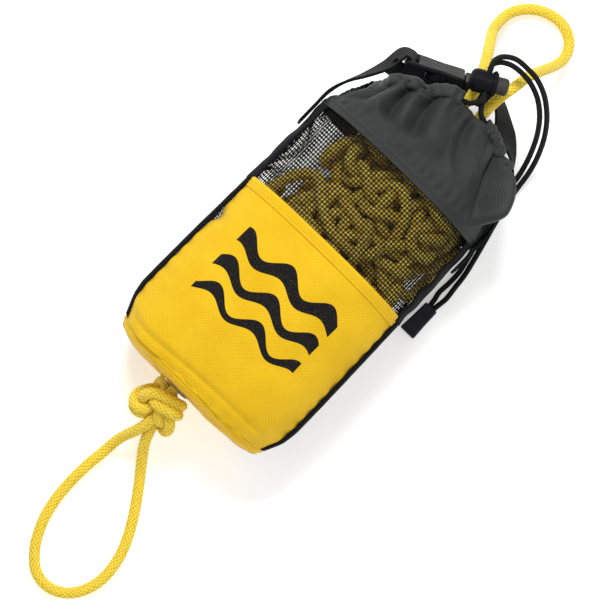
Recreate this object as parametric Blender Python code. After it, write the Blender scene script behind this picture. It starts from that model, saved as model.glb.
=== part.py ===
"""Throw rope bag for river rescue, lying on its back.

A stuffed fabric bag with a yellow front and base, a black mesh window and back, and a grey collar
that a drawcord gathers at the mouth. The rope runs out of both ends: a loop through the mouth, and
a knotted loop through a grommet in the base. A webbing strap with a side-release buckle crosses
the mouth.

Frame: +Y runs along the bag to its mouth, +Z is up through its front, and the origin is the middle
of the flat of its back. Sizes are given in millimetres and turned into metres by MM.
"""

import math

import bmesh
import bpy
from mathutils import Matrix, Vector

MM = 0.001

# Fabric body
BODY_STATIONS = (  # distance along Y, half width, height
    (-79.0, 51.5, 66.5),
    (-70.0, 56.6, 70.5),
    (-40.0, 57.6, 73.5),
    (27.0, 56.4, 73.5),
    (83.0, 55.4, 70.0),
)
SECTION_POWER = 2.3
BACK_POWER = 2.6
BACK_SAG = 1.5
FABRIC = 1.1
GAP = 0.35
BASE_Y = -79.0
WINDOW_LOW_Y = 26.7
WINDOW_HIGH_Y = 81.7
HEM_HEIGHT = 6.5
HEM_RISE = 0.7
SEAM_ANGLE = math.radians(18.0)
TAPE_HALF_ANGLE = math.radians(6.0)
SEAM_GAP_ANGLE = math.radians(0.7)
BASE_BULGE = 2.6
BASE_THICKNESS = 1.2

# Rope: 6.35 mm floating rope
ROPE_D = 6.35
FLOOR_ROPE_Z = 3.25
BASE_EXIT = (-5.0, 35.0)
KNOT_SIZE = (26.0, 25.0, 25.0)
BASE_KNOT_Y = -98.0
STOPPER_SIZE = (18.0, 17.0, 17.0)
STOPPER_Y = -55.5
FOAM_Y = (-76.0, -68.0)
GROMMET_BORE = 7.4
GROMMET_RIM = 17.0
FILL_STATIONS = (  # distance along Y, centre X, half width, height
    (-44.0, 0.0, 40.0, 50.0),
    (-34.0, 0.0, 53.5, 66.0),
    (18.0, 1.0, 52.5, 68.5),
    (40.0, 4.5, 48.0, 67.0),
    (78.0, 5.5, 45.5, 62.0),
    (93.0, 4.0, 33.0, 46.0),
)

# Mouth: the collar's upper edge as angle round the bag, then X, Y, Z
MOUTH_EDGE = (
    (0, 42.0, 115.5, 38.0),
    (25, 35.5, 121.5, 49.5),
    (50, 22.5, 127.5, 57.5),
    (72, 7.0, 129.5, 60.5),
    (95, -8.0, 128.0, 60.5),
    (112, -20.0, 119.5, 61.0),
    (130, -32.0, 115.0, 61.0),
    (145, -38.0, 107.0, 58.5),
    (160, -43.5, 95.5, 52.0),
    (180, -51.0, 87.0, 40.0),
    (205, -46.5, 97.0, 27.5),
    (230, -36.0, 110.5, 21.0),
    (255, -19.0, 119.0, 18.0),
    (280, 0.0, 122.5, 17.0),
    (305, 19.0, 121.5, 19.0),
    (330, 34.0, 118.5, 26.5),
)
CASING_HEIGHT = 7.4
CASING_THICKNESS = 5.4
CASING_WALL = 0.7
CASING_CLEARANCE = 0.8
CASING_GAP_DEG = (61.0, 86.0)

# Drawcord and its lock
CORD_D = 3.1
LOCK_CENTRE = (0.0, 149.0, 65.0)
LOCK_AXIS_DEG = 30.0
CORD_PAIR = 3.5
BARREL_D = 13.0
BARREL_BORE = 10.2
BARREL_ENDS = (-9.6, 5.2)
BARREL_FLOOR = -8.4
FLANGE_D = 14.6
PLUNGER_D = 9.6
PLUNGER_ENDS = (-3.3, 11.8)
PRESS = 3.0
SLOT_HEIGHT = 7.5
SLOT_WIDTH = 4.0
SPRING_WIRE = 0.55
SPRING_D = 7.2
SPRING_TURNS = 4
CORD_END_AT = (64.0, 37.8, 2.9)
CORD_END_LENGTH = 19.5
CORD_END_WIDTHS = (8.3, 9.8)
CORD_END_HEIGHT = 5.6

# Strap and buckle
STRAP_WIDTH = 20.0
STRAP_THICKNESS = 1.5
BUCKLE_CENTRE = (-19.5, 139.6, 32.5)
BUCKLE_TURN_DEG = 25.8
BUCKLE_TILT_DEG = 20.0
BUCKLE_WIDTH = 26.0
BUCKLE_THICKNESS = 9.6
SOCKET_ENDS = (-22.5, 11.0)
PLUG_ENDS = (11.5, 23.5)
PRONG_TIP = -9.5

GREY = (0.058, 0.061, 0.060)
BLACK = (0.010, 0.010, 0.011)
YELLOW = (0.80, 0.50, 0.020)
ROPE_YELLOW = (0.85, 0.62, 0.045)
METAL = (0.62, 0.60, 0.55)
FOAM = (0.35, 0.36, 0.38)


# ---------------------------------------------------------------- helpers

def material(name, color, roughness, metallic=0.0):
    """Return a plain Principled material."""
    mat = bpy.data.materials.new(name)
    mat.use_nodes = True
    shader = mat.node_tree.nodes["Principled BSDF"]
    shader.inputs["Base Color"].default_value = (*color, 1.0)
    shader.inputs["Roughness"].default_value = roughness
    shader.inputs["Metallic"].default_value = metallic
    return mat


def add_mesh(name, mesh_builder, mat, matrix=Matrix.Identity(4)):
    """Make an object from a bmesh, with its faces out and its curves shaded smooth."""
    bmesh.ops.recalc_face_normals(mesh_builder, faces=mesh_builder.faces)
    mesh = bpy.data.meshes.new(name)
    mesh_builder.to_mesh(mesh)
    mesh_builder.free()
    mesh.materials.append(mat)
    mesh.shade_smooth()
    mesh.set_sharp_from_angle(angle=math.radians(35))
    obj = bpy.data.objects.new(name, mesh)
    obj.matrix_world = matrix
    bpy.context.collection.objects.link(obj)
    return obj


def catmull(points, t):
    """Read a Catmull-Rom curve through points, where t runs from 0 to len(points) - 1."""
    last = len(points) - 1
    i = min(int(t), last - 1)
    f = t - i
    p1, p2 = points[i], points[i + 1]
    p0 = points[i - 1] if i > 0 else p1 + (p1 - p2)
    p3 = points[i + 2] if i + 2 <= last else p2 + (p2 - p1)
    return 0.5 * (
        2 * p1 + (p2 - p0) * f + (2 * p0 - 5 * p1 + 4 * p2 - p3) * f * f
        + (3 * p1 - p0 - 3 * p2 + p3) * f * f * f
    )


def smooth_route(route, spacing):
    """Sample a smooth curve through the route's points at an even spacing (all in mm)."""
    points = [Vector(p) for p in route]
    steps = 40
    dense = [catmull(points, k / steps) for k in range((len(points) - 1) * steps + 1)]
    lengths = [0.0]
    for a, b in zip(dense, dense[1:]):
        lengths.append(lengths[-1] + (b - a).xyz.length)
    count = max(2, round(lengths[-1] / spacing))
    result = []
    j = 0
    for k in range(count + 1):
        wanted = lengths[-1] * k / count
        while j < len(lengths) - 2 and lengths[j + 1] < wanted:
            j += 1
        part = (wanted - lengths[j]) / max(lengths[j + 1] - lengths[j], 1e-9)
        result.append(dense[j].lerp(dense[j + 1], part))
    return result


def tube(name, mat, points, diameter, resolution):
    """Make a cord's solid along points in mm."""
    curve = bpy.data.curves.new(name, "CURVE")
    curve.dimensions = "3D"
    curve.bevel_depth = diameter / 2 * MM
    curve.bevel_resolution = resolution
    curve.use_fill_caps = True
    spline = curve.splines.new("POLY")
    spline.points.add(len(points) - 1)
    for slot, p in zip(spline.points, points):
        slot.co = (*(p * MM), 1.0)
    curve.materials.append(mat)
    obj = bpy.data.objects.new(name, curve)
    bpy.context.collection.objects.link(obj)
    return obj


def skin_between(outer, inner, wrap):
    """Close the space between two grids of points (rows by columns, in mm)."""
    bm = bmesh.new()
    rows = len(outer)
    columns = len(outer[0])
    out = [[bm.verts.new(p * MM) for p in row] for row in outer]
    ins = [[bm.verts.new(p * MM) for p in row] for row in inner]
    spans = range(columns if wrap else columns - 1)
    for r in range(rows - 1):
        for c in spans:
            d = (c + 1) % columns
            bm.faces.new((out[r][c], out[r][d], out[r + 1][d], out[r + 1][c]))
            bm.faces.new((ins[r][c], ins[r + 1][c], ins[r + 1][d], ins[r][d]))
    for c in spans:
        d = (c + 1) % columns
        for r in (0, rows - 1):
            bm.faces.new((out[r][c], ins[r][c], ins[r][d], out[r][d]))
    if not wrap:
        for r in range(rows - 1):
            for c in (0, columns - 1):
                bm.faces.new((out[r][c], out[r + 1][c], ins[r + 1][c], ins[r][c]))
    return bm


def loft(rings):
    """Join closed rings of points (mm) and cap both ends."""
    bm = bmesh.new()
    loops = [[bm.verts.new(p * MM) for p in ring] for ring in rings]
    count = len(loops[0])
    for low, high in zip(loops, loops[1:]):
        for k in range(count):
            n = (k + 1) % count
            bm.faces.new((low[k], low[n], high[n], high[k]))
    bm.faces.new(loops[0])
    bm.faces.new(loops[-1])
    return bm


def turned(profile, segments=32):
    """Spin a closed profile of (radius, height) points in mm round local Z."""
    bm = bmesh.new()
    rings = []
    for radius, height in profile:
        ring = []
        for k in range(segments):
            angle = 2 * math.pi * k / segments
            ring.append(bm.verts.new(
                Vector((radius * math.cos(angle), radius * math.sin(angle), height)) * MM))
        rings.append(ring)
    for a, b in zip(rings, rings[1:] + rings[:1]):
        for k in range(segments):
            n = (k + 1) % segments
            bm.faces.new((a[k], a[n], b[n], b[k]))
    return bm


def box(size, centre, bevel=0.0):
    """A box of the given size in mm, with its edges bevelled."""
    bm = bmesh.new()
    bmesh.ops.create_cube(bm, size=1.0)
    bmesh.ops.scale(bm, vec=Vector(size) * MM, verts=bm.verts)
    bmesh.ops.translate(bm, vec=Vector(centre) * MM, verts=bm.verts)
    if bevel:
        bmesh.ops.bevel(bm, geom=bm.edges[:], offset=bevel * MM, segments=2, profile=0.5,
                        affect="EDGES")
    return bm


def cut(obj, cutter):
    """Subtract a cutter from an object, and keep the cutter out of the build."""
    cutter.hide_render = True
    cutter.display_type = "WIRE"
    modifier = obj.modifiers.new("cut " + cutter.name, "BOOLEAN")
    modifier.operation = "DIFFERENCE"
    modifier.solver = "EXACT"
    modifier.object = cutter


def axes_matrix(x_axis, y_axis, z_axis, origin):
    """A placement from three unit axes and an origin in mm."""
    matrix = Matrix.Identity(4)
    for column, axis in enumerate((x_axis, y_axis, z_axis)):
        for row in range(3):
            matrix[row][column] = axis[row]
    matrix.translation = Vector(origin) * MM
    return matrix


# ---------------------------------------------------------------- fabric body

def read_stations(stations, y):
    """Read a smooth row of sizes at y from a table of stations."""
    y = min(max(y, stations[0][0]), stations[-1][0])
    index = 0
    while index < len(stations) - 2 and stations[index + 1][0] < y:
        index += 1

    def slope(k):
        a, b = stations[max(k - 1, 0)], stations[min(k + 1, len(stations) - 1)]
        return Vector(b[1:]) / (b[0] - a[0]) - Vector(a[1:]) / (b[0] - a[0])

    low, high = stations[index], stations[index + 1]
    span = high[0] - low[0]
    t = (y - low[0]) / span
    p0, p1 = Vector(low[1:]), Vector(high[1:])
    m0, m1 = slope(index) * span, slope(index + 1) * span
    return (p0 * (2 * t ** 3 - 3 * t ** 2 + 1) + m0 * (t ** 3 - 2 * t ** 2 + t)
            + p1 * (3 * t ** 2 - 2 * t ** 3) + m1 * (t ** 3 - t ** 2))


def power(value, exponent):
    """A signed power, which squares off a circle into a fuller section."""
    return math.copysign(abs(value) ** exponent, value)


def body_point(y, angle, outset=0.0):
    """A point of the body's section at y, moved out by outset. The back is flat on the floor."""
    half_width, height, _ = read_stations([(*s, 0.0) for s in BODY_STATIONS], y)
    half = height / 2
    x = (half_width + outset) * power(math.cos(angle), 2 / SECTION_POWER)
    rise = math.sin(angle)
    if rise >= 0:
        z = half + (half + outset) * power(rise, 2 / SECTION_POWER)
    else:
        z = max(half + (half + BACK_SAG + outset) * power(rise, 2 / BACK_POWER), -outset)
    return Vector((x, y, z))


def body_panel(name, mat, y_values, angles, rise=lambda y: 0.0, thickness=FABRIC):
    """A sewn panel of the body between two seams."""
    outer = [[body_point(y, a, rise(y)) for a in angles] for y in y_values]
    inner = [[body_point(y, a, rise(y) * 0.2 - thickness) for a in angles] for y in y_values]
    return add_mesh(name, skin_between(outer, inner, wrap=False), mat)


def spread(low, high, count):
    """Evenly spaced values from low to high."""
    return [low + (high - low) * k / (count - 1) for k in range(count)]


def front_angles(edge, count):
    """Angles over the front, from one side seam to the other."""
    return spread(edge, math.pi - edge, count)


def back_angles(edge, count):
    """Angles round the back, from the right side seam to the left one."""
    return spread(edge, -math.pi - edge, count)


def build_body(mats):
    """Front panel, window, back panel and the two side tapes."""
    seam = SEAM_ANGLE
    hem_low = WINDOW_LOW_Y - HEM_HEIGHT

    def hem_rise(y):
        return HEM_RISE if y > hem_low else 0.0

    yellow_rows = [BASE_Y, -76.5, -73.5, -70.0, -60.0, -45.0, -25.0, -5.0, 12.0, hem_low,
                   hem_low + 0.3, WINDOW_LOW_Y - GAP]
    body_panel("front_panel", mats["coated_yellow"], yellow_rows,
               front_angles(seam + SEAM_GAP_ANGLE, 23), hem_rise)
    mesh_edge = seam + TAPE_HALF_ANGLE + SEAM_GAP_ANGLE
    body_panel("window_mesh", mats["mesh"], spread(WINDOW_LOW_Y, WINDOW_HIGH_Y - GAP, 7),
               front_angles(mesh_edge, 23), thickness=1.0)
    below = seam - TAPE_HALF_ANGLE - SEAM_GAP_ANGLE
    outer, inner = [], []
    for y in spread(BASE_Y, WINDOW_HIGH_Y - GAP, 11):
        edge = seam - SEAM_GAP_ANGLE if y < WINDOW_LOW_Y - 12 else below
        angles = back_angles(edge, 29)
        outer.append([body_point(y, a) for a in angles])
        inner.append([body_point(y, a, -FABRIC) for a in angles])
    add_mesh("back_mesh", skin_between(outer, inner, wrap=False), mats["mesh"])
    for side, middle in (("right", seam), ("left", math.pi - seam)):
        angles = spread(middle - TAPE_HALF_ANGLE, middle + TAPE_HALF_ANGLE, 4)
        body_panel("side_tape_" + side, mats["webbing"],
                   spread(WINDOW_LOW_Y, WINDOW_HIGH_Y - GAP, 7), angles, lambda y: 0.6)


def base_ring(scale, y, drop=0.0):
    """One ring of the base disc, centred on the rope's exit at scale 0."""
    count = 40
    centre = Vector((BASE_EXIT[0], y, BASE_EXIT[1]))
    ring = []
    for k in range(count):
        edge = body_point(BASE_Y, 2 * math.pi * k / count, -drop)
        edge.y = y
        ring.append(centre.lerp(edge, scale))
    return ring


def build_base(mats):
    """Bulged base disc with its grommet, and the foam disc inside."""
    hole = GROMMET_BORE + 2.0
    first = hole / 2 / 30.0
    scales = (first, 0.5, 0.8, 0.93, 1.0)
    front, back = [], []
    for s in scales:
        y = BASE_Y - GAP - BASE_BULGE * (1 - s ** 4)
        front.append(round_hole(s, first, hole / 2, y - BASE_THICKNESS * (1 if s < 1 else 0.5)))
        back.append(round_hole(s, first, hole / 2, y))
    add_mesh("base_disc", skin_between(front, back, wrap=True), mats["coated_yellow"])

    low, high = FOAM_Y
    foam_hole = 11.0
    rings = []
    for y in (low, high):
        outer = [body_point(y, 2 * math.pi * k / 40, -3.0) for k in range(40)]
        inner = [p for p in circle(foam_hole / 2, y, 40)]
        rings.append((outer, inner))
    add_mesh("foam_disc", skin_between([rings[0][0], rings[1][0]], [rings[0][1], rings[1][1]],
                                       wrap=True), mats["foam"])

    face = BASE_Y - GAP - BASE_BULGE - BASE_THICKNESS
    bore = GROMMET_BORE / 2
    rim = GROMMET_RIM / 2
    neck = bore + 0.7
    eyelet = [(bore, 3.0), (bore, -0.7), (bore + 0.8, -1.2), (rim - 1.0, -1.1), (rim, -0.5),
              (rim, -0.25), (neck, -0.25), (neck, 3.0)]
    washer = [(neck + 0.3, 1.6), (rim, 1.6), (rim, 2.2), (neck + 0.3, 2.2)]
    place = axes_matrix((1, 0, 0), (0, 0, -1), (0, 1, 0), (BASE_EXIT[0], face, BASE_EXIT[1]))
    add_mesh("grommet", turned(eyelet, 24), mats["metal"], place)
    add_mesh("grommet_washer", turned(washer, 24), mats["metal"], place)


def circle(radius, y, count):
    """A ring round the rope's exit."""
    ring = []
    for k in range(count):
        angle = 2 * math.pi * k / count
        ring.append(Vector((BASE_EXIT[0] + radius * math.cos(angle), y,
                            BASE_EXIT[1] + radius * math.sin(angle))))
    return ring


def round_hole(scale, first, radius, y):
    """A ring of the base disc, which is a true circle at the hole."""
    if scale == first:
        return circle(radius, y, 40)
    return base_ring(scale, y)


# ---------------------------------------------------------------- collar and drawcord casing

def mouth_edge(angle_deg):
    """The collar's upper edge at an angle round the bag, on a smooth closed curve."""
    angle_deg %= 360.0
    count = len(MOUTH_EDGE)
    index = max(k for k in range(count) if MOUTH_EDGE[k][0] <= angle_deg)
    start = MOUTH_EDGE[index][0]
    end = MOUTH_EDGE[(index + 1) % count][0] or 360
    points = [Vector(MOUTH_EDGE[(index + k) % count][1:]) for k in (-1, 0, 1, 2)]
    return catmull(points, 1.0 + (angle_deg - start) / (end - start))


def mouth_rise(angle_deg):
    """The direction in which the fabric runs out at the mouth, leaning in towards its middle."""
    lean = Vector((0.0, 108.0, 38.0)) - mouth_edge(angle_deg)
    lean.y = 0.0
    return (Vector((0, 1, 0)) + lean.normalized() * 0.25).normalized()


def build_collar(mats):
    """The collar, from its hem on the window up to the mouth."""
    columns = 48
    base_y = WINDOW_HIGH_Y
    rows = []
    hem = HEM_HEIGHT - 1.0
    for row in range(9):
        ring = []
        for k in range(columns):
            angle = 2 * math.pi * k / columns
            if row == 0:
                ring.append(body_point(base_y, angle, 0.7))
                continue
            top = mouth_edge(math.degrees(angle))
            room = max(top.y - base_y, 3.0)
            start_y = min(hem, room * 0.45)
            start = body_point(base_y + start_y, angle, 0.7 if row == 1 else 0.1)
            t = max(row - 2, 0) / 6
            reach = (top.y - start.y) * 0.5
            bend = start + Vector((0, reach, 0))
            lead = top - mouth_rise(math.degrees(angle)) * reach * 0.8
            ring.append(start * (1 - t) ** 3 + bend * 3 * t * (1 - t) ** 2
                        + lead * 3 * t * t * (1 - t) + top * t ** 3)
        rows.append(ring)
    inner = offset_grid(rows, -FABRIC)
    add_mesh("collar", skin_between(rows, inner, wrap=True), mats["coated_grey"])


def offset_grid(rows, distance):
    """Move a grid of points that closes round on itself along its own normals."""
    count = len(rows[0])
    result = []
    for r, ring in enumerate(rows):
        up = rows[min(r + 1, len(rows) - 1)]
        down = rows[max(r - 1, 0)]
        moved = []
        for k in range(count):
            along = up[k] - down[k]
            across = ring[(k + 1) % count] - ring[k - 1]
            normal = across.cross(along).normalized()
            shift = normal * distance
            if r == 0 or r == len(rows) - 1:
                shift.y = 0.0
            moved.append(ring[k] + shift)
        result.append(moved)
    return result


def casing_frames(low_deg, high_deg, count):
    """Centres and axes of the casing tunnel along the mouth."""
    frames = []
    for angle in spread(low_deg, high_deg, count):
        rise = mouth_rise(angle)
        ahead = mouth_edge(angle + 2) - mouth_edge(angle - 2)
        side = ahead.cross(rise).normalized()
        up = side.cross(ahead).normalized()
        centre = mouth_edge(angle) + up * (CASING_HEIGHT / 2 + CASING_CLEARANCE)
        frames.append((centre, up, side))
    return frames


def oval(centre, up, side, height, width, count=10):
    """A rounded tunnel section."""
    ring = []
    for k in range(count):
        angle = 2 * math.pi * k / count
        ring.append(centre + up * (height / 2 * power(math.sin(angle), 0.8))
                    + side * (width / 2 * power(math.cos(angle), 0.8)))
    return ring


def build_casing(mats):
    """The drawcord's tunnel round the mouth, open at its two ends where the cord leaves."""
    frames = casing_frames(CASING_GAP_DEG[1], CASING_GAP_DEG[0] + 360.0, 40)
    outer = [oval(c, u, s, CASING_HEIGHT, CASING_THICKNESS) for c, u, s in frames]
    wall = 2 * CASING_WALL
    inner = [oval(c, u, s, CASING_HEIGHT - wall, CASING_THICKNESS - wall) for c, u, s in frames]
    add_mesh("drawcord_casing", skin_between(outer, inner, wrap=True), mats["coated_grey"])


# ---------------------------------------------------------------- rope

def lump(name, mat, centre, size, lobes, matrix=None):
    """A knot's plain outer solid: a rounded form with soft lobes, in mm."""
    rings, segments = 9, 20
    bm = bmesh.new()
    bmesh.ops.create_uvsphere(bm, u_segments=segments, v_segments=rings, radius=1.0)
    for v in bm.verts:
        turn = math.atan2(v.co.x, v.co.z)
        swell = 1.0 + 0.05 * math.cos(lobes * turn + 3.0 * v.co.y)
        x, y, z = (power(c, 0.86) for c in v.co)
        v.co = (Vector(centre) + Vector((x * size[0], y * size[1], z * size[2])) * 0.5 * swell) * MM
    return add_mesh(name, bm, mat)


def build_rope(mats):
    """Stuffed rope, the knots and the loops at both ends."""
    rope = mats["rope"]
    rings = []
    for y in (-44.0, -41.0, -36.0, -28.0, 0.0, 20.0, 40.0, 58.0, 74.0, 84.0, 90.0, 93.0):
        centre_x, half_width, height = read_stations(FILL_STATIONS, y)
        ring = []
        for k in range(28):
            angle = 2 * math.pi * k / 28
            x = centre_x + half_width * power(math.cos(angle), 2 / SECTION_POWER)
            z = 36.0 + height / 2 * power(math.sin(angle), 2 / SECTION_POWER)
            ring.append(Vector((x, y, z)))
        rings.append(ring)
    add_mesh("rope_fill", loft(rings), rope)

    exit_x, exit_z = BASE_EXIT
    lump("stopper_knot", rope, (exit_x, STOPPER_Y, exit_z), STOPPER_SIZE, 3)
    stopper_end = STOPPER_Y - STOPPER_SIZE[1] / 2
    knot_top = BASE_KNOT_Y + KNOT_SIZE[1] / 2
    shank = [Vector((exit_x, y, exit_z)) for y in (stopper_end - 0.5, -74.0, knot_top + 0.5)]
    tube("rope_shank", rope, shank, ROPE_D, 3)
    lump("base_knot", rope, (exit_x - 0.5, BASE_KNOT_Y, exit_z - 9.0), KNOT_SIZE, 3)
    tube("base_loop", rope, smooth_route(BASE_LOOP, 2.2 * ROPE_D), ROPE_D, 3)
    lump("mouth_knot", rope, MOUTH_KNOT, (24.0, 22.0, 20.0), 3)
    tube("mouth_loop", rope, smooth_route(MOUTH_LOOP, 2.2 * ROPE_D), ROPE_D, 3)


MOUTH_KNOT = (4.0, 105.5, 41.0)

MOUTH_LOOP = (
    (8.5, 118.5, 43.5),
    (10.0, 127.0, 48.0),
    (10.2, 138.0, 50.5),
    (10.5, 148.6, 51.6),
    (12.2, 159.5, 49.6),
    (13.9, 171.0, 41.0),
    (16.9, 180.0, 29.0),
    (19.9, 188.8, 16.0),
    (20.8, 196.7, 7.4),
    (18.2, 204.0, 4.0),
    (12.9, 208.6, FLOOR_ROPE_Z),
    (5.0, 210.5, FLOOR_ROPE_Z),
    (-4.0, 208.6, FLOOR_ROPE_Z),
    (-11.8, 203.7, FLOOR_ROPE_Z),
    (-17.3, 196.0, 4.4),
    (-18.8, 187.8, 9.0),
    (-17.8, 179.0, 18.0),
    (-14.4, 171.4, 29.5),
    (-10.4, 163.5, 41.0),
    (-6.0, 154.5, 49.8),
    (-2.4, 146.0, 52.2),
    (-0.6, 136.0, 51.2),
    (-1.5, 126.5, 47.5),
    (-0.5, 118.5, 43.5),
)

BASE_LOOP = (
    (-9.0, -110.8, 20.0),
    (-8.8, -116.0, 14.5),
    (-8.9, -124.0, 7.5),
    (-9.3, -134.0, 4.0),
    (-10.6, -146.0, FLOOR_ROPE_Z),
    (-10.8, -160.0, FLOOR_ROPE_Z),
    (-9.4, -174.0, FLOOR_ROPE_Z),
    (-5.6, -187.0, FLOOR_ROPE_Z),
    (1.0, -198.5, FLOOR_ROPE_Z),
    (10.0, -206.5, FLOOR_ROPE_Z),
    (20.5, -208.0, FLOOR_ROPE_Z),
    (30.5, -203.0, FLOOR_ROPE_Z),
    (37.0, -192.5, FLOOR_ROPE_Z),
    (38.6, -180.0, FLOOR_ROPE_Z),
    (35.8, -166.0, FLOOR_ROPE_Z),
    (29.5, -152.5, FLOOR_ROPE_Z),
    (21.5, -140.0, 3.7),
    (13.0, -128.6, 5.8),
    (5.2, -118.8, 11.5),
    (0.6, -110.8, 19.0),
)


# ---------------------------------------------------------------- drawcord

CORD_AFTER_LOCK_OUTER = (
    (-5.3, 160.0, 67.0),
    (-3.3, 165.0, 67.0),
    (2.6, 168.9, 66.0),
    (10.5, 169.9, 64.0),
    (18.5, 169.9, 59.5),
    (27.5, 167.3, 51.5),
    (36.0, 162.3, 39.5),
    (42.8, 155.5, 26.5),
    (47.8, 147.0, 14.5),
    (50.8, 138.0, 6.0),
    (52.3, 128.0, 2.2),
    (53.9, 118.0, 1.7),
    (56.6, 106.5, 1.7),
    (59.6, 95.0, 1.7),
    (62.6, 83.0, 1.7),
    (64.8, 73.0, 1.7),
    (65.8, 64.0, 1.8),
    (66.6, 57.0, 2.3),
    (66.1, 52.0, 2.7),
    (65.6, 47.5, 2.9),
    (65.6, 43.5, 2.9),
)

CORD_AFTER_LOCK_INNER = (
    (-4.3, 158.2, 63.1),
    (-1.4, 162.0, 62.9),
    (3.8, 164.4, 62.6),
    (10.6, 165.4, 61.0),
    (18.2, 164.9, 56.8),
    (26.0, 162.6, 48.8),
    (33.2, 158.2, 37.0),
    (39.2, 151.8, 24.5),
    (43.8, 144.2, 12.8),
    (46.8, 136.0, 5.0),
    (48.5, 127.0, 1.9),
    (50.3, 117.3, 1.7),
    (53.0, 105.5, 1.7),
    (56.0, 94.0, 1.7),
    (59.0, 82.0, 1.7),
    (61.0, 72.5, 1.7),
    (61.2, 64.0, 1.8),
    (60.6, 57.0, 2.3),
    (61.7, 52.0, 2.7),
    (62.4, 47.8, 2.9),
    (62.4, 43.5, 2.9),
)


def lock_axes():
    """The lock's press axis, the cords' direction through it, and up."""
    angle = math.radians(LOCK_AXIS_DEG)
    press = Vector((math.cos(angle), math.sin(angle), 0.0))
    through = Vector((-math.sin(angle), math.cos(angle), 0.0))
    return press, through, Vector((0, 0, 1))


def lock_passage(height):
    """Straight points of one cord through the lock, raised by height."""
    _, through, up = lock_axes()
    middle = Vector(LOCK_CENTRE) + up * height
    return [middle + through * s for s in (-6.5, -3.0, 3.0, 6.5)]


def build_drawcord(mats):
    """Cord inside the casing, and its two ends through the lock and down to the cord end."""
    low, high = CASING_GAP_DEG
    frames = casing_frames(high + 1.3, low + 358.7, 40)
    tube("drawcord_in_casing", mats["cord"], [c for c, _, _ in frames], CORD_D, 2)
    left_exit = casing_frames(high - 0.8, high - 0.8, 2)[0][0]
    right_exit = casing_frames(low + 0.8, low + 0.8, 2)[0][0]
    left = [left_exit, Vector((1.2, 135.0, 63.0)), Vector((4.2, 139.4, 66.2))]
    right = [right_exit, Vector((9.6, 135.0, 60.9)), Vector((6.2, 138.9, 62.3))]
    outer = left + lock_passage(CORD_PAIR / 2) + [Vector(p) for p in CORD_AFTER_LOCK_OUTER]
    inner = right + lock_passage(-CORD_PAIR / 2) + [Vector(p) for p in CORD_AFTER_LOCK_INNER]
    tube("drawcord_outer", mats["cord"], smooth_route(outer, 2.2 * CORD_D), CORD_D, 2)
    tube("drawcord_inner", mats["cord"], smooth_route(inner, 2.2 * CORD_D), CORD_D, 2)


def build_lock(mats):
    """Barrel, plunger and spring of the cord lock. Local Z is the press axis, Y the cords'."""
    press, through, up = lock_axes()
    place = axes_matrix(-up, through, press, LOCK_CENTRE)
    low, high = BARREL_ENDS
    r, bore, flange = BARREL_D / 2, BARREL_BORE / 2, FLANGE_D / 2
    profile = [(bore, high), (r, high), (r, high - 0.6), (flange, high - 1.0),
               (flange, high - 2.2), (r, high - 2.6), (r, low + 3.2), (r - 0.7, low + 1.4),
               (r - 2.2, low + 0.35), (r - 4.0, low), (0.6, low - 0.15), (0.6, BARREL_FLOOR),
               (bore, BARREL_FLOOR)]
    barrel = add_mesh("lock_barrel", turned(profile, 24), mats["hard_black"], place)
    slot = box((SLOT_HEIGHT, 40.0, SLOT_WIDTH), (0, 0, 0))
    cut(barrel, add_mesh("barrel slot cutter", slot, mats["hard_black"], place))

    low, high = PLUNGER_ENDS
    r = PLUNGER_D / 2
    profile = [(r, low), (r, high - 1.6), (r - 0.5, high - 0.6), (r - 1.7, high),
               (0.5, high + 0.2), (0.5, low)]
    plunger = add_mesh("lock_plunger", turned(profile, 24), mats["button"], place)
    slot = box((SLOT_HEIGHT, 40.0, SLOT_WIDTH + PRESS), (0, 0, PRESS / 2))
    cut(plunger, add_mesh("plunger slot cutter", slot, mats["button"], place))

    start = BARREL_FLOOR + 0.2 + SPRING_WIRE / 2
    end = PLUNGER_ENDS[0] - 0.2 - SPRING_WIRE / 2
    steps = 10 * SPRING_TURNS
    coil = []
    for k in range(steps + 1):
        angle = 2 * math.pi * SPRING_TURNS * k / steps
        radius = (SPRING_D - SPRING_WIRE) / 2
        coil.append(Vector((radius * math.cos(angle), radius * math.sin(angle),
                            start + (end - start) * k / steps)))
    spring = tube("lock_spring", mats["metal"], coil, SPRING_WIRE, 1)
    spring.matrix_world = place


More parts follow.
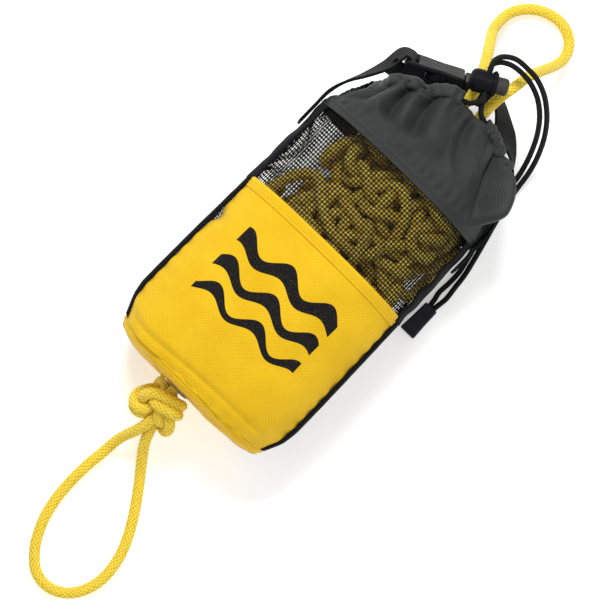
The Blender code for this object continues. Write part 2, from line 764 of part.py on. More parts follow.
def build_cord_end(mats):
    """Two snap-together halves of the flared cord end."""
    x, y, z = CORD_END_AT
    half = CORD_END_LENGTH / 2
    top, bottom = CORD_END_WIDTHS
    height = CORD_END_HEIGHT
    split = 0.6

    def half_body(name, low, high, corner):
        rings = []
        for s, grow in ((half, -0.5), (half - 0.6, 0.0), (0.0, 0.0), (-half + 0.6, 0.0),
                        (-half, -0.5)):
            width = top + (bottom - top) * ((half - s) / (2 * half)) ** 2 + 2 * grow
            w = width / 2
            soft_low, soft_high = (corner, 0.0) if low < 0 else (0.0, corner)
            ring = [Vector((-w + soft_low, s, low)), Vector((w - soft_low, s, low)),
                    Vector((w, s, low + soft_low)), Vector((w, s, high - soft_high)),
                    Vector((w - soft_high, s, high)), Vector((-w + soft_high, s, high)),
                    Vector((-w, s, high - soft_high)), Vector((-w, s, low + soft_low))]
            kept = [ring[0]]
            for p in ring[1:]:
                if (p - kept[-1]).length > 0.05 and (p - ring[0]).length > 0.05:
                    kept.append(p)
            rings.append(kept)
        return add_mesh(name, loft(rings), mats["cord_end"], Matrix.Translation(
            Vector((x, y, z)) * MM))

    base = half_body("cord_end_base", -height / 2, split - GAP / 2, 0.9)
    cover = half_body("cord_end_cover", split + GAP / 2, height / 2, 0.9)
    pocket = box((7.1, 17.2, 3.8), (0, half - 8.0, 0.0))
    place = Matrix.Translation(Vector((x, y, z)) * MM)
    pocket_cutter = add_mesh("cord pocket cutter", pocket, mats["cord_end"], place)
    cut(base, pocket_cutter)
    cut(cover, pocket_cutter)


# ---------------------------------------------------------------- strap and buckle

LEFT_STRAP = (  # X, Y, Z, then the lean of the strap's width off upright in degrees
    (-58.1, 66.0, 37.0, 0.0),
    (-58.2, 78.0, 37.0, 0.0),
    (-58.1, 89.0, 36.6, 0.0),
    (-56.3, 99.0, 35.6, 4.0),
    (-52.3, 109.0, 34.2, 10.0),
    (-48.2, 118.0, 33.1, 16.0),
    (-43.4, 128.0, 32.5, 20.0),
)
RIGHT_STRAP = (
    (3.3, 150.5, 32.5, 20.0),
    (7.6, 151.6, 32.5, 20.0),
    (12.6, 150.4, 32.6, 22.0),
    (18.8, 146.4, 33.2, 28.0),
    (25.6, 141.2, 34.2, 36.0),
    (32.6, 136.8, 35.2, 26.0),
    (40.0, 131.2, 36.6, 10.0),
    (46.8, 123.0, 37.5, 0.0),
    (51.8, 112.5, 38.0, 0.0),
    (55.6, 101.0, 37.6, 0.0),
    (57.9, 89.0, 37.2, 0.0),
    (58.2, 78.0, 37.0, 0.0),
    (58.1, 66.0, 37.0, 0.0),
)


def build_strap(name, mat, route):
    """Flat webbing along a route, its width upright apart from the lean at each point."""
    points = smooth_route(route, 5.0)
    rings = []
    for k, point in enumerate(points):
        centre = point.xyz
        ahead = (points[min(k + 1, len(points) - 1)] - points[max(k - 1, 0)]).xyz.normalized()
        up = Vector((0, 0, 1))
        up = (up - ahead * up.dot(ahead)).normalized()
        up.rotate(Matrix.Rotation(math.radians(point.w), 3, ahead))
        out = ahead.cross(up)
        w, t = up * STRAP_WIDTH / 2, out * STRAP_THICKNESS / 2
        rings.append([centre - w - t, centre + w - t, centre + w + t, centre - w + t])
    return add_mesh(name, loft(rings), mat)


def buckle_place():
    """The buckle's frame: local X along the strap, Y across its width, Z through its thickness."""
    turn = math.radians(BUCKLE_TURN_DEG)
    tilt = math.radians(BUCKLE_TILT_DEG)
    along = Vector((math.cos(turn), math.sin(turn), 0.0))
    level_out = Vector((-math.sin(turn), math.cos(turn), 0.0))
    out = level_out * math.cos(tilt) + Vector((0, 0, math.sin(tilt)))
    across = out.cross(along)
    return axes_matrix(along, across, out, BUCKLE_CENTRE), along


def slab(outline, low, high, bevel=0.7):
    """A plate of the given outline in local X and Y, with softened edges."""
    bm = bmesh.new()
    bottom = [bm.verts.new(Vector((x, y, low)) * MM) for x, y in outline]
    face = bm.faces.new(bottom)
    top = bmesh.ops.extrude_face_region(bm, geom=[face])
    verts = [v for v in top["geom"] if isinstance(v, bmesh.types.BMVert)]
    bmesh.ops.translate(bm, vec=Vector((0, 0, high - low)) * MM, verts=verts)
    if bevel:
        flat = [e for e in bm.edges if abs(e.verts[0].co.z - e.verts[1].co.z) < 1e-7]
        bmesh.ops.bevel(bm, geom=flat, offset=bevel * MM, segments=2, profile=0.5, affect="EDGES")
    return bm


def build_buckle(mats):
    """Socket, plug and the plug's two sprung prongs."""
    place, _ = buckle_place()
    hard = mats["hard_black"]
    w = BUCKLE_WIDTH / 2
    t = BUCKLE_THICKNESS / 2
    low, high = SOCKET_ENDS
    outline = [(low, -w + 3.0), (low + 1.5, -w + 1.0), (low + 5.0, -w + 0.4), (-11.0, -w + 0.2),
               (-2.0, -w + 1.6), (high - 3.0, -w), (high, -w + 0.5)]
    outline += [(x, -y) for x, y in reversed(outline)]
    socket = add_mesh("buckle_socket", slab(outline, -t, t, 1.2), hard, place)
    cavity = box((22.5, 2 * w - 5.4, 2 * t - 3.2), (high - 10.25, 0, 0))
    windows = box((12.2, 2 * w + 10.0, 2 * t - 4.4), (-4.5, 0, 0))
    webbing = box((3.6, STRAP_WIDTH + 1.4, 30.0), (low + 5.4, 0, 0))
    for name, cutter in (("cavity", cavity), ("window", windows), ("webbing slot", webbing)):
        cut(socket, add_mesh("socket " + name + " cutter", cutter, hard, place))

    low, high = PLUG_ENDS
    outline = [(low, -w + 1.4), (low + 1.2, -w + 0.5), (high - 3.0, -w + 0.5),
               (high - 1.0, -w + 1.5), (high, -w + 3.6)]
    outline += [(x, -y) for x, y in reversed(outline)]
    plug = add_mesh("buckle_plug", slab(outline, -t + 0.9, t - 0.9, 1.0), hard, place)
    for k, slot_x in enumerate((low + 4.0, low + 8.4)):
        slot = box((2.4, STRAP_WIDTH + 1.2, 30.0), (slot_x, 0, 0))
        cut(plug, add_mesh("plug slot cutter %d" % k, slot, hard, place))
    tongue = add_mesh("tongue", box((14.0, 3.6, 2.6), (low - 6.4, 0, 0), 0.5), hard, place)
    join(plug, tongue)

    for side, sign in (("lower", 1), ("upper", -1)):
        arm = [(low - 0.4, 6.2), (low - 0.4, 8.6), (1.5, 8.9), (1.2, 12.2), (-3.5, 12.4),
               (PRONG_TIP, 9.0), (PRONG_TIP, 6.9), (-2.0, 6.4)]
        if sign < 0:
            arm = [(x, -y) for x, y in reversed(arm)]
        add_mesh("buckle_prong_" + side, slab(arm, -2.2, 2.2, 0.3), hard, place)


def join(obj, extra):
    """Weld a piece to an object with a Boolean union."""
    extra.hide_render = True
    extra.display_type = "WIRE"
    modifier = obj.modifiers.new("weld " + extra.name, "BOOLEAN")
    modifier.operation = "UNION"
    modifier.solver = "EXACT"
    modifier.object = extra


def main():
    for obj in list(bpy.data.objects):
        bpy.data.objects.remove(obj)
    mats = {
        "coated_yellow": material("coated_yellow", YELLOW, 0.62),
        "coated_grey": material("coated_grey", GREY, 0.66),
        "mesh": material("mesh", BLACK, 0.7),
        "webbing": material("webbing", BLACK, 0.75),
        "cord": material("cord", BLACK, 0.7),
        "rope": material("rope", ROPE_YELLOW, 0.5),
        "hard_black": material("hard_black", BLACK, 0.35),
        "button": material("button", GREY, 0.45),
        "cord_end": material("cord_end", (0.025, 0.025, 0.034), 0.4),
        "foam": material("foam", FOAM, 0.85),
        "metal": material("metal", METAL, 0.35, 0.9),
    }
    build_body(mats)
    build_base(mats)
    build_collar(mats)
    build_casing(mats)
    build_rope(mats)
    build_drawcord(mats)
    build_lock(mats)
    build_cord_end(mats)
    build_strap("strap_left", mats["webbing"], LEFT_STRAP)
    build_strap("strap_right", mats["webbing"], RIGHT_STRAP)
    build_buckle(mats)


main()
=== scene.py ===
"""Looks of the throw rope bag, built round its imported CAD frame.

Lengths are in millimetres in the same frame as the CAD (+Y to the mouth, +Z up, the bag lying on
its back near z = 0), and become metres through MM when a mesh is made. Shader values are metres.
"""

import math

import bpy
import numpy as np
from mathutils import Matrix, Vector


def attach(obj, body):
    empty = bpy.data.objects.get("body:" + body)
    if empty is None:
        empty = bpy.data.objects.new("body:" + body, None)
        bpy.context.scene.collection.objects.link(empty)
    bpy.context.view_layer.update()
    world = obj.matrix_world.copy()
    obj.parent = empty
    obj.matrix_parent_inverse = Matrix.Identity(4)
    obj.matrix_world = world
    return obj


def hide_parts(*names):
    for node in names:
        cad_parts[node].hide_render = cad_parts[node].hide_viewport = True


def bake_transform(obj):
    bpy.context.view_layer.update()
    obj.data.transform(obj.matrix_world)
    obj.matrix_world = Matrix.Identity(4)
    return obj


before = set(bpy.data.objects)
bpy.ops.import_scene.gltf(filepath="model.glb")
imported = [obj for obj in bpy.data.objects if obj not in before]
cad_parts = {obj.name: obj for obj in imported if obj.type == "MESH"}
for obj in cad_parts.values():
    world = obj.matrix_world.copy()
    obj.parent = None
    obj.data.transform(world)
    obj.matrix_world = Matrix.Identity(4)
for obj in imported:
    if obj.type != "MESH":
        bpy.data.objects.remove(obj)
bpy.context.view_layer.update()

MM = 0.001
SEED = 7

# Body, as in the CAD
BODY_STATIONS = np.array((  # distance along Y, half width, height
    (-79.0, 51.5, 66.5),
    (-70.0, 56.6, 70.5),
    (-40.0, 57.6, 73.5),
    (27.0, 56.4, 73.5),
    (83.0, 55.4, 70.0),
))
SECTION_POWER = 2.3
BACK_POWER = 2.6
BACK_SAG = 1.5
FLOOR_Z = -1.85  # the sagging back's lowest point
BASE_Y = -79.0
WINDOW_LOW_Y = 26.7
WINDOW_HIGH_Y = 81.7
HEM_HEIGHT = 6.5
SEAM_ANGLE = math.radians(18.0)
TAPE_HALF_ANGLE = math.radians(6.0)
SEAMS = (("right", SEAM_ANGLE), ("left", math.pi - SEAM_ANGLE))
SEAM_GAP_ANGLE = math.radians(0.7)
BINDING_HALF_ANGLE = math.radians(2.7)
BASE_EXIT = np.array((-5.0, 0.0, 35.0))
BASE_HALF_WIDTH = BODY_STATIONS[0, 1]
GROMMET_HOLE_RADIUS = 4.75
CORNER_LIFT_LEFT = 5.0
CORNER_LIFT_RIGHT = 3.6
CORNER_REACH = 34.0

# Rope and cords
ROPE_D = 6.35
ROPE_CARRIERS = 8
ROPE_PICK = 2.9
ROPE_BRAID_DEPTH = 0.6
CORD_D = 3.1
CORD_CARRIERS = 8
CORD_PICK = 1.25
CORD_BRAID_DEPTH = 0.22
ROPE_LENGTH = 15000.0
MESH_PITCH = 1.98
MESH_THREAD = 0.62
MESH_THREAD_RISE = 0.16  # how far crossing threads pass over and under
KNOT_TIGHTNESS = 0.90
BASE_KNOT_ROLL = 30.0
FIGURE_EIGHT_SIZE = 17.0
MOUTH_KNOT_SIZE = 0.80
STOPPER_SIZE = 0.72
STOPPER_ROOM = 12.5  # from the stopper's middle to the stuffed rope
KNOT_SPACING = 2.5
KNOT_PASSES = 1500
KNOT_CONTACT = 0.90  # share of the rope's thickness at which its strands touch
KNOT_BEND = 4.3
JOIN_REACH = 9.0
JOIN_PASSES = 110
FILL_STEP = 4.0
FILL_BEND = 9.5

# Cloth and webbing
CLOTH_THICKNESS = 0.8
TAPE_THICKNESS = 0.9
CASING_THICKNESS = 0.6
HEM_RISE = 0.7
CREASE_ABOVE_BASE = 6.5
PINCH_Y = -2.0
PINCH_DEPTH = 2.6
COLLAR_ROUND = 330.0
CASING_HEIGHT = 7.4
STRAP_WIDTH = 20.0
STRAP_THICKNESS = 1.5
STITCH_PITCH = 2.6
STITCH_ARCH = 0.22
STITCH_LIFT = 0.05
BOX_STITCH_PITCH = 2.3
TAPE_STITCH_PITCH = 2.4

# Camera
LENS = 262.0
CAMERA_TILT_DEG = 4.5
CAMERA_ROLL_DEG = 44.2
CAMERA_DISTANCE = 2358.0
CAMERA_TARGET = (9.6, -2.6, 36.0)

# Light
FLOOR_HALF_SIZE = 4000.0
FLOOR_GLOW = 0.42
WORLD_STRENGTH = 0.42


# ---------------------------------------------------------------- shape helpers

def spline(p0, p1, p2, p3, f):
    """The Catmull-Rom cubic from p1 to p2."""
    return 0.5 * (2 * p1 + (p2 - p0) * f + (2 * p0 - 5 * p1 + 4 * p2 - p3) * f ** 2
                  + (3 * p1 - p0 - 3 * p2 + p3) * f ** 3)


def catmull(points, t):
    """Read a Catmull-Rom curve through an array of points at parameters t."""
    points = np.asarray(points, float)
    t = np.clip(np.asarray(t, float), 0, len(points) - 1)
    padded = np.vstack((2 * points[0] - points[1], points, 2 * points[-1] - points[-2]))
    i = np.minimum(t.astype(int), len(points) - 2)
    f = (t - i)[..., None]
    return spline(*(padded[i + k] for k in range(4)), f)


def steps_of(points):
    """Lengths of a line's steps."""
    return np.linalg.norm(np.diff(points[:, :3], axis=0), axis=1)


def run_along(points):
    """Distance along a line at each of its points."""
    return np.concatenate(([0.0], np.cumsum(steps_of(points))))


def read_line(wanted, along, values):
    """Read each column of values, known at the places along, at the wanted places."""
    return np.stack([np.interp(wanted, along, column) for column in values.T], 1)


def even(points, spacing):
    """Resample a line at an even spacing. Extra columns are carried along."""
    along = run_along(points)
    count = max(2, int(round(along[-1] / spacing)) + 1)
    return read_line(np.linspace(0, along[-1], count), along, points)


def smooth_route(route, spacing):
    """An evenly spaced smooth curve through the route's points."""
    route = np.asarray(route, float)
    dense = catmull(route, np.linspace(0, len(route) - 1, (len(route) - 1) * 40 + 1))
    return even(dense, spacing)


def unit(v):
    """Vectors scaled to length 1."""
    return v / np.maximum(np.linalg.norm(v, axis=-1, keepdims=True), 1e-9)


def smooth_step(low, high, x):
    """0 below low, 1 above high, and smooth between."""
    t = np.clip((x - low) / (high - low), 0, 1)
    return t * t * (3 - 2 * t)


def add_piece(name, points, faces, mat, body, uv=None, smooth=True, relief=None, period=0.0):
    """Make a mesh piece from points in mm and let it ride on a body, unless body is None."""
    mesh = bpy.data.meshes.new(name)
    mesh.from_pydata((np.asarray(points) * MM).tolist(), [], [list(map(int, f)) for f in faces])
    if uv is not None:
        layer = mesh.uv_layers.new(name="UVMap")
        index = np.empty(len(mesh.loops), int)
        mesh.loops.foreach_get("vertex_index", index)
        corners = np.asarray(uv)[index]
        if period:
            quads = corners.reshape(-1, 4, 2)
            far = quads[..., 0].max(1, keepdims=True) - quads[..., 0] > period / 2
            quads[..., 0] += np.where(far, period, 0.0)
        layer.data.foreach_set("uv", (corners * MM).ravel().astype(np.float32))
    if relief is not None:
        mesh.attributes.new("relief", "FLOAT", "POINT").data.foreach_set(
            "value", np.asarray(relief, np.float32))
    if smooth:
        mesh.shade_smooth()
    mesh.materials.append(mat)
    mesh.update()
    obj = bpy.data.objects.new(name, mesh)
    bpy.context.collection.objects.link(obj)
    if body is not None:
        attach(obj, body)
    return obj


def grid_faces(rows, columns, wrap_rows=False, wrap_columns=False, first=0):
    """Quads of a grid of points numbered row by row."""
    r = np.arange(rows if wrap_rows else rows - 1)
    c = np.arange(columns if wrap_columns else columns - 1)
    r, c = (a.ravel() for a in np.meshgrid(r, c, indexing="ij"))
    r2, c2 = (r + 1) % rows, (c + 1) % columns
    return first + np.stack((r * columns + c, r * columns + c2, r2 * columns + c2,
                             r2 * columns + c), 1)


def grid_normals(grid, wrap):
    """Unit normals of a grid of points, on the side that its columns turn round."""
    along = np.gradient(grid, axis=0)
    if wrap:
        across = np.roll(grid, -1, axis=1) - np.roll(grid, 1, axis=1)
    else:
        across = np.gradient(grid, axis=1)
    return unit(np.cross(across, along))


def cloth_shell(name, grid, thickness, mat, body, wrap=False, uv=None, relief=None):
    """A closed thin shell from a grid of outer points. Its faces look away from the inside."""
    rows, columns = grid.shape[:2]
    inner = grid - grid_normals(grid, wrap) * thickness
    points = np.concatenate((grid.reshape(-1, 3), inner.reshape(-1, 3)))
    count = rows * columns
    outside = grid_faces(rows, columns, wrap_columns=wrap)
    inside = grid_faces(rows, columns, wrap_columns=wrap, first=count)[:, ::-1]
    rims = []
    c = np.arange(columns if wrap else columns - 1)
    c2 = (c + 1) % columns
    last = (rows - 1) * columns
    rims.append(np.stack((c2, c, c + count, c2 + count), 1))
    rims.append(np.stack((last + c, last + c2, last + c2 + count, last + c + count), 1))
    if not wrap:
        r = np.arange(rows - 1) * columns
        rims.append(np.stack((r, r + columns, r + columns + count, r + count), 1))
        e = r + columns - 1
        rims.append(np.stack((e + columns, e, e + count, e + columns + count), 1))
    faces = np.concatenate([outside, inside] + rims)
    uv2 = None if uv is None else np.concatenate((uv.reshape(-1, 2),) * 2)
    relief2 = None if relief is None else np.concatenate((relief.ravel(),) * 2)
    return add_piece(name, points, faces, mat, body, uv2, relief=relief2)


def line_frames(path):
    """Tangents and two side directions along a line, without twist."""
    tangent = unit(np.gradient(path, axis=0))
    side = np.zeros_like(path)
    start = np.cross(tangent[0], (0.0, 0.0, 1.0))
    if np.linalg.norm(start) < 0.1:
        start = np.cross(tangent[0], (1.0, 0.0, 0.0))
    side[0] = unit(start)
    for k in range(1, len(path)):
        side[k] = side[k - 1] - tangent[k] * np.dot(side[k - 1], tangent[k])
        side[k] /= np.linalg.norm(side[k])
    return tangent, side, np.cross(tangent, side)


def braid_relief(turn, along, carriers, pick):
    """Height of a 2 over 2 braid from 0 to 1. turn is in turns, along and pick in mm."""
    u = carriers * turn + along / pick
    v = carriers * turn - along / pick
    iu, iv = np.floor(u), np.floor(v)
    fu, fv = u - iu, v - iv
    top = ((iu + iv) % 2) == 0
    across = np.where(top, fv, fu)
    length = np.where(top, fu, fv)
    ridge = np.sqrt(np.clip(1 - (2 * across - 1) ** 2, 0, 1))
    crown = np.sqrt(np.clip(1 - (2 * length - 1) ** 2 * 0.8, 0, 1))
    return ridge * crown


def tube_points(path, radius, sides, carriers=0, pick=1.0, depth=0.0):
    """Points, texture coordinates and relief of a tube with a braided surface."""
    _, side, up = line_frames(path)
    along = run_along(path)
    turn = np.arange(sides) / sides
    a = turn * 2 * math.pi
    ring = side[:, None] * np.cos(a)[None, :, None] + up[:, None] * np.sin(a)[None, :, None]
    height = np.zeros((len(path), sides))
    if carriers:
        height = braid_relief(turn[None, :], along[:, None], carriers, pick)
    radii = np.broadcast_to(np.asarray(radius, float).reshape(-1, 1), (len(path), 1))
    points = path[:, None] + ring * (radii - depth + depth * height)[..., None]
    uv = np.stack(np.broadcast_arrays(turn[None, :] * 2 * math.pi * np.mean(radii),
                                      along[:, None]), -1)
    return points, uv, height


def tube_piece(name, path, radius, sides, mat, body, **braid):
    """A closed tube piece, braided where braid values are given."""
    points, uv, height = tube_points(path, radius, sides, **braid)
    count = len(path) * sides
    near = np.arange(sides)
    ahead = (near + 1) % sides
    low = np.stack((ahead, near, np.full(sides, count)), 1)
    high = np.stack((near, ahead, np.full(sides, sides + 1)), 1) + count - sides
    faces = np.concatenate((low, high)).tolist()
    faces = grid_faces(len(path), sides, wrap_columns=True).tolist() + faces
    points = np.concatenate((points.reshape(-1, 3), path[:1], path[-1:]))
    uv = np.concatenate((uv.reshape(-1, 2), np.zeros((2, 2))))
    relief = np.concatenate((height.ravel(), np.zeros(2)))
    return add_piece(name, points, faces, mat, body, uv, relief=relief)


# ---------------------------------------------------------------- body surface

def power(value, exponent):
    """A signed power."""
    return np.sign(value) * np.abs(value) ** exponent


def body_size(y):
    """Half width and height of the body at y, on the CAD's smooth profile."""
    table = BODY_STATIONS
    y = np.clip(y, table[0, 0], table[-1, 0])
    slopes = []
    for k in range(len(table)):
        a, b = table[max(k - 1, 0)], table[min(k + 1, len(table) - 1)]
        slopes.append((b[1:] - a[1:]) / (b[0] - a[0]))
    slopes = np.array(slopes)
    i = np.clip(np.searchsorted(table[:, 0], y, side="left") - 1, 0, len(table) - 2)
    span = (table[i + 1, 0] - table[i, 0])[..., None]
    t = (y - table[i, 0])[..., None] / span
    value = (table[i, 1:] * (2 * t ** 3 - 3 * t ** 2 + 1)
             + slopes[i] * span * (t ** 3 - 2 * t ** 2 + t)
             + table[i + 1, 1:] * (3 * t ** 2 - 2 * t ** 3)
             + slopes[i + 1] * span * (t ** 3 - t ** 2))
    return value[..., 0], value[..., 1]


def body_points(y, angle, outset=0.0):
    """Points of the body's section at y and angle, moved out by outset."""
    y, angle, outset = np.broadcast_arrays(np.asarray(y, float), angle, outset)
    half_width, height = body_size(y)
    half = height / 2
    x = (half_width + outset) * power(np.cos(angle), 2 / SECTION_POWER)
    rise = np.sin(angle)
    upper = half + (half + outset) * power(rise, 2 / SECTION_POWER)
    lower = np.maximum(half + (half + BACK_SAG + outset) * power(rise, 2 / BACK_POWER), -outset)
    return np.stack((x, y + corner_lift(x, y), np.where(rise >= 0, upper, lower)), -1)


def corner_lift(x, y):
    """How far the soft cloth draws in at the base's two lower corners."""
    near = 1 - smooth_step(BASE_Y, BASE_Y + CORNER_REACH, y)
    out = np.clip(np.abs(x) / BASE_HALF_WIDTH, 0, 1.1)
    side = np.where(x < 0, CORNER_LIFT_LEFT, CORNER_LIFT_RIGHT)
    return side * out ** 8 * near


def even_angles(low, high, count, y=0.0):
    """Angles between two seams, evenly spaced along the body's surface."""
    dense = np.linspace(low, high, 2000)
    points = body_points(y, dense)
    along = run_along(points)
    return np.interp(np.linspace(0, along[-1], count), along, dense), along[-1]


def waves(x, y, seed, low, high, count=14):
    """Smooth seeded noise in two coordinates, with wavelengths from low to high in mm."""
    rng = np.random.default_rng(seed)
    total = np.zeros(np.broadcast(x, y).shape)
    for _ in range(count):
        length = rng.uniform(low, high)
        turn, phase = rng.uniform(0, 2 * math.pi, 2)
        total += np.sin((x * math.cos(turn) + y * math.sin(turn)) * 2 * math.pi / length + phase)
    return total / math.sqrt(count)


# ---------------------------------------------------------------- materials

PRINT_STRIPES = (  # place along the panel, half width, phase
    (-0.004, 0.0042, 0.0),
    (-0.021, 0.0034, 0.9),
    (-0.036, 0.0026, 1.8),
)
PRINT_WAVELENGTH = 0.030
PRINT_SWING = 0.0036
PRINT_SWELL = 0.0009
PRINT_EDGE = 0.00012
PRINT_MIDDLE = 0.064
PRINT_HALF_LENGTH = 0.036
PRINT_BLACK = (0.007, 0.007, 0.009)
CLOTH_YELLOW = (0.84, 0.525, 0.014)
# darker yellow: painted shade for the weave's hollows, mixed with random tone
CLOTH_YELLOW_SHADE_AND_TONE = (0.72, 0.41, 0.007)
# painted light: the stuffed rope's colour, lighter than the outer rope's
ROPE_INSIDE_PAINTED_LIGHTER = (0.98, 0.76, 0.10)
# painted shade for the stuffed rope's braid grooves, mixed with random tone
ROPE_INSIDE_SHADE_AND_TONE = (0.62, 0.36, 0.012)
INSIDE_PICK = 2.3 * MM


class Shader:
    """A small helper for building node materials."""

    def __init__(self, name, color, roughness, **values):
        self.mat = bpy.data.materials.new(name)
        self.mat.use_nodes = True
        self.tree = self.mat.node_tree
        self.bsdf = self.tree.nodes["Principled BSDF"]
        self.set(self.bsdf, "Base Color", (*color, 1.0))
        self.set(self.bsdf, "Roughness", roughness)
        for key, value in values.items():
            self.set(self.bsdf, key.replace("_", " "), value)

    def set(self, node, socket, value):
        if isinstance(value, bpy.types.NodeSocket):
            self.tree.links.new(value, node.inputs[socket])
        else:
            node.inputs[socket].default_value = value

    def node(self, kind, output=0, **values):
        node = self.tree.nodes.new(kind)
        for key, value in values.items():
            if key in ("operation", "data_type", "blend_type", "wave_type", "bands_direction",
                       "attribute_name", "feature", "noise_dimensions", "vector_type"):
                setattr(node, key, value)
            elif key.startswith("in"):
                self.set(node, int(key[2:]), value)
            else:
                self.set(node, key.replace("_", " "), value)
        return node.outputs[output]

    def math(self, operation, a, b=0.0):
        return self.node("ShaderNodeMath", operation=operation, in0=a, in1=b)

    def times(self, value, share):
        return self.math("MULTIPLY", value, share)

    def plus(self, value, added, share):
        """The value plus a share of what is added."""
        return self.math("ADD", value, self.times(added, share))

    def uv(self):
        return self.node("ShaderNodeTexCoord", output=2)

    def position(self):
        return self.node("ShaderNodeTexCoord", output=3)

    def noise(self, coordinates, scale, detail=3.0):
        return self.node("ShaderNodeTexNoise", Vector=coordinates, Scale=scale, Detail=detail)

    def attribute(self, name):
        return self.node("ShaderNodeAttribute", output=2, attribute_name=name)

    def blend(self, factor, a, b):
        """Mix two colours."""
        node = self.tree.nodes.new("ShaderNodeMix")
        node.data_type = "RGBA"
        self.set(node, 0, factor)
        self.set(node, 6, a if isinstance(a, bpy.types.NodeSocket) else (*a, 1.0))
        self.set(node, 7, b if isinstance(b, bpy.types.NodeSocket) else (*b, 1.0))
        return node.outputs[2]

    def ramp(self, value, low, high):
        """0 below low, 1 above high."""
        node = self.tree.nodes.new("ShaderNodeMapRange")
        node.interpolation_type = "SMOOTHSTEP"
        self.set(node, 0, value)
        self.set(node, 1, low)
        self.set(node, 2, high)
        return node.outputs[0]

    def bump(self, height, distance, strength=1.0):
        node = self.tree.nodes.new("ShaderNodeBump")
        self.set(node, "Height", height)
        self.set(node, "Distance", distance)
        self.set(node, "Strength", strength)
        self.set(self.bsdf, "Normal", node.outputs[0])

    def weave(self, coordinates, pitch):
        """Height of a plain weave with the given pitch in metres."""
        split = self.tree.nodes.new("ShaderNodeSeparateXYZ")
        self.set(split, 0, coordinates)
        turns = math.pi / pitch
        u = self.math("SINE", self.times(split.outputs[0], turns))
        v = self.math("SINE", self.times(split.outputs[1], turns))
        return self.times(u, v)


def coated_shader(name, color, shade_and_tone, roughness, pitch, weave_depth, shine=0.08):
    """Coated woven nylon: a fine weave with painted shade in its hollows, faint creases and slightly
    uneven colour.
    """
    s = Shader(name, color, roughness, Sheen_Weight=0.05, Sheen_Roughness=0.5,
               Specular_IOR_Level=shine)
    uv = s.uv()
    weave = s.weave(uv, pitch)
    patches = s.noise(uv, 38.0, 4.0)
    fine = s.noise(uv, 900.0, 2.0)
    shade = s.times(s.ramp(patches, 0.35, 0.7), 0.45)
    # painted shade: the weave's low points go towards the darker colour
    shade = s.plus(shade, s.ramp(weave, -0.8, 0.6), -0.22)
    shade = s.plus(shade, fine, 0.3)
    s.set(s.bsdf, "Base Color", s.blend(shade, color, shade_and_tone))
    s.set(s.bsdf, "Roughness", s.math("ADD", s.times(patches, 0.16), roughness - 0.08))
    height = s.plus(s.times(weave, weave_depth), patches, 2.2)
    s.bump(height, 0.00022)
    return s


def braided(name, light, shade_and_tone, roughness, sheen):
    """Braided cord with painted shade in its grooves: the colour darkens where the braid's relief is
    low. The relief comes with the mesh.
    """
    s = Shader(name, light, roughness, Sheen_Weight=sheen, Sheen_Roughness=0.4,
               Specular_IOR_Level=0.18)
    relief = s.attribute("relief")
    fibres = s.noise(s.uv(), 5200.0, 2.0)
    patches = s.noise(s.position(), 90.0, 2.0)
    # painted shade: where the braid's relief is low, in its grooves, the colour goes towards the
    # shade colour; fibres and patches add random tone
    factor = s.math("SUBTRACT", 1.0, s.ramp(relief, 0.12, 0.85))
    factor = s.plus(factor, s.ramp(fibres, 0.5, 0.8), 0.28)
    factor = s.plus(factor, s.ramp(patches, 0.5, 0.8), 0.14)
    s.set(s.bsdf, "Base Color", s.blend(factor, light, shade_and_tone))
    s.bump(s.plus(fibres, relief, 2.0), 0.00012, 0.8)
    return s.mat


def moulded(name, color, roughness, worn):
    """Moulded plastic with a faint spark-eroded grain and rubbed patches."""
    s = Shader(name, color, roughness, Specular_IOR_Level=0.09)
    grain = s.noise(s.position(), 2600.0, 2.0)
    rub = s.noise(s.position(), 160.0, 4.0)
    s.set(s.bsdf, "Base Color", s.blend(s.times(s.ramp(rub, 0.45, 0.75), 0.6), color, worn))
    s.set(s.bsdf, "Roughness", s.math("ADD", s.times(rub, 0.22), roughness - 0.1))
    s.bump(grain, 0.00006, 0.5)
    return s.mat


def woven_tape(name, color, light, pitch):
    """Nylon webbing: a coarse herringbone in its own coordinates, with painted light on the raised
    yarns and painted shade in the hollows.
    """
    s = Shader(name, color, 0.7, Sheen_Weight=0.02, Sheen_Roughness=0.4,
               Specular_IOR_Level=0.08)
    uv = s.uv()
    weave = s.weave(uv, pitch)
    fibres = s.noise(uv, 4200.0, 2.0)
    # painted light and shade: the weave's raised yarns go towards the lighter colour and its hollows
    # stay dark; fibres add random tone
    factor = s.times(s.ramp(weave, -0.5, 0.9), 0.55)
    factor = s.plus(factor, s.ramp(fibres, 0.45, 0.8), 0.4)
    s.set(s.bsdf, "Base Color", s.blend(factor, color, light))
    s.bump(s.plus(weave, fibres, 0.8), 0.00022)
    return s.mat


def plain_metal(name):
    """Plated eyelet and spring metal."""
    s = Shader(name, (0.60, 0.58, 0.53), 0.32, Metallic=1.0)
    rub = s.noise(s.position(), 900.0, 3.0)
    s.set(s.bsdf, "Roughness", s.math("ADD", s.times(rub, 0.3), 0.18))
    return s.mat


def closed_cell_foam(name):
    """Grey flotation foam."""
    s = Shader(name, (0.32, 0.33, 0.35), 0.9)
    cells = s.noise(s.position(), 1500.0, 2.0)
    s.set(s.bsdf, "Base Color", s.blend(cells, (0.24, 0.25, 0.27), (0.42, 0.43, 0.45)))
    s.bump(cells, 0.0003)
    return s.mat


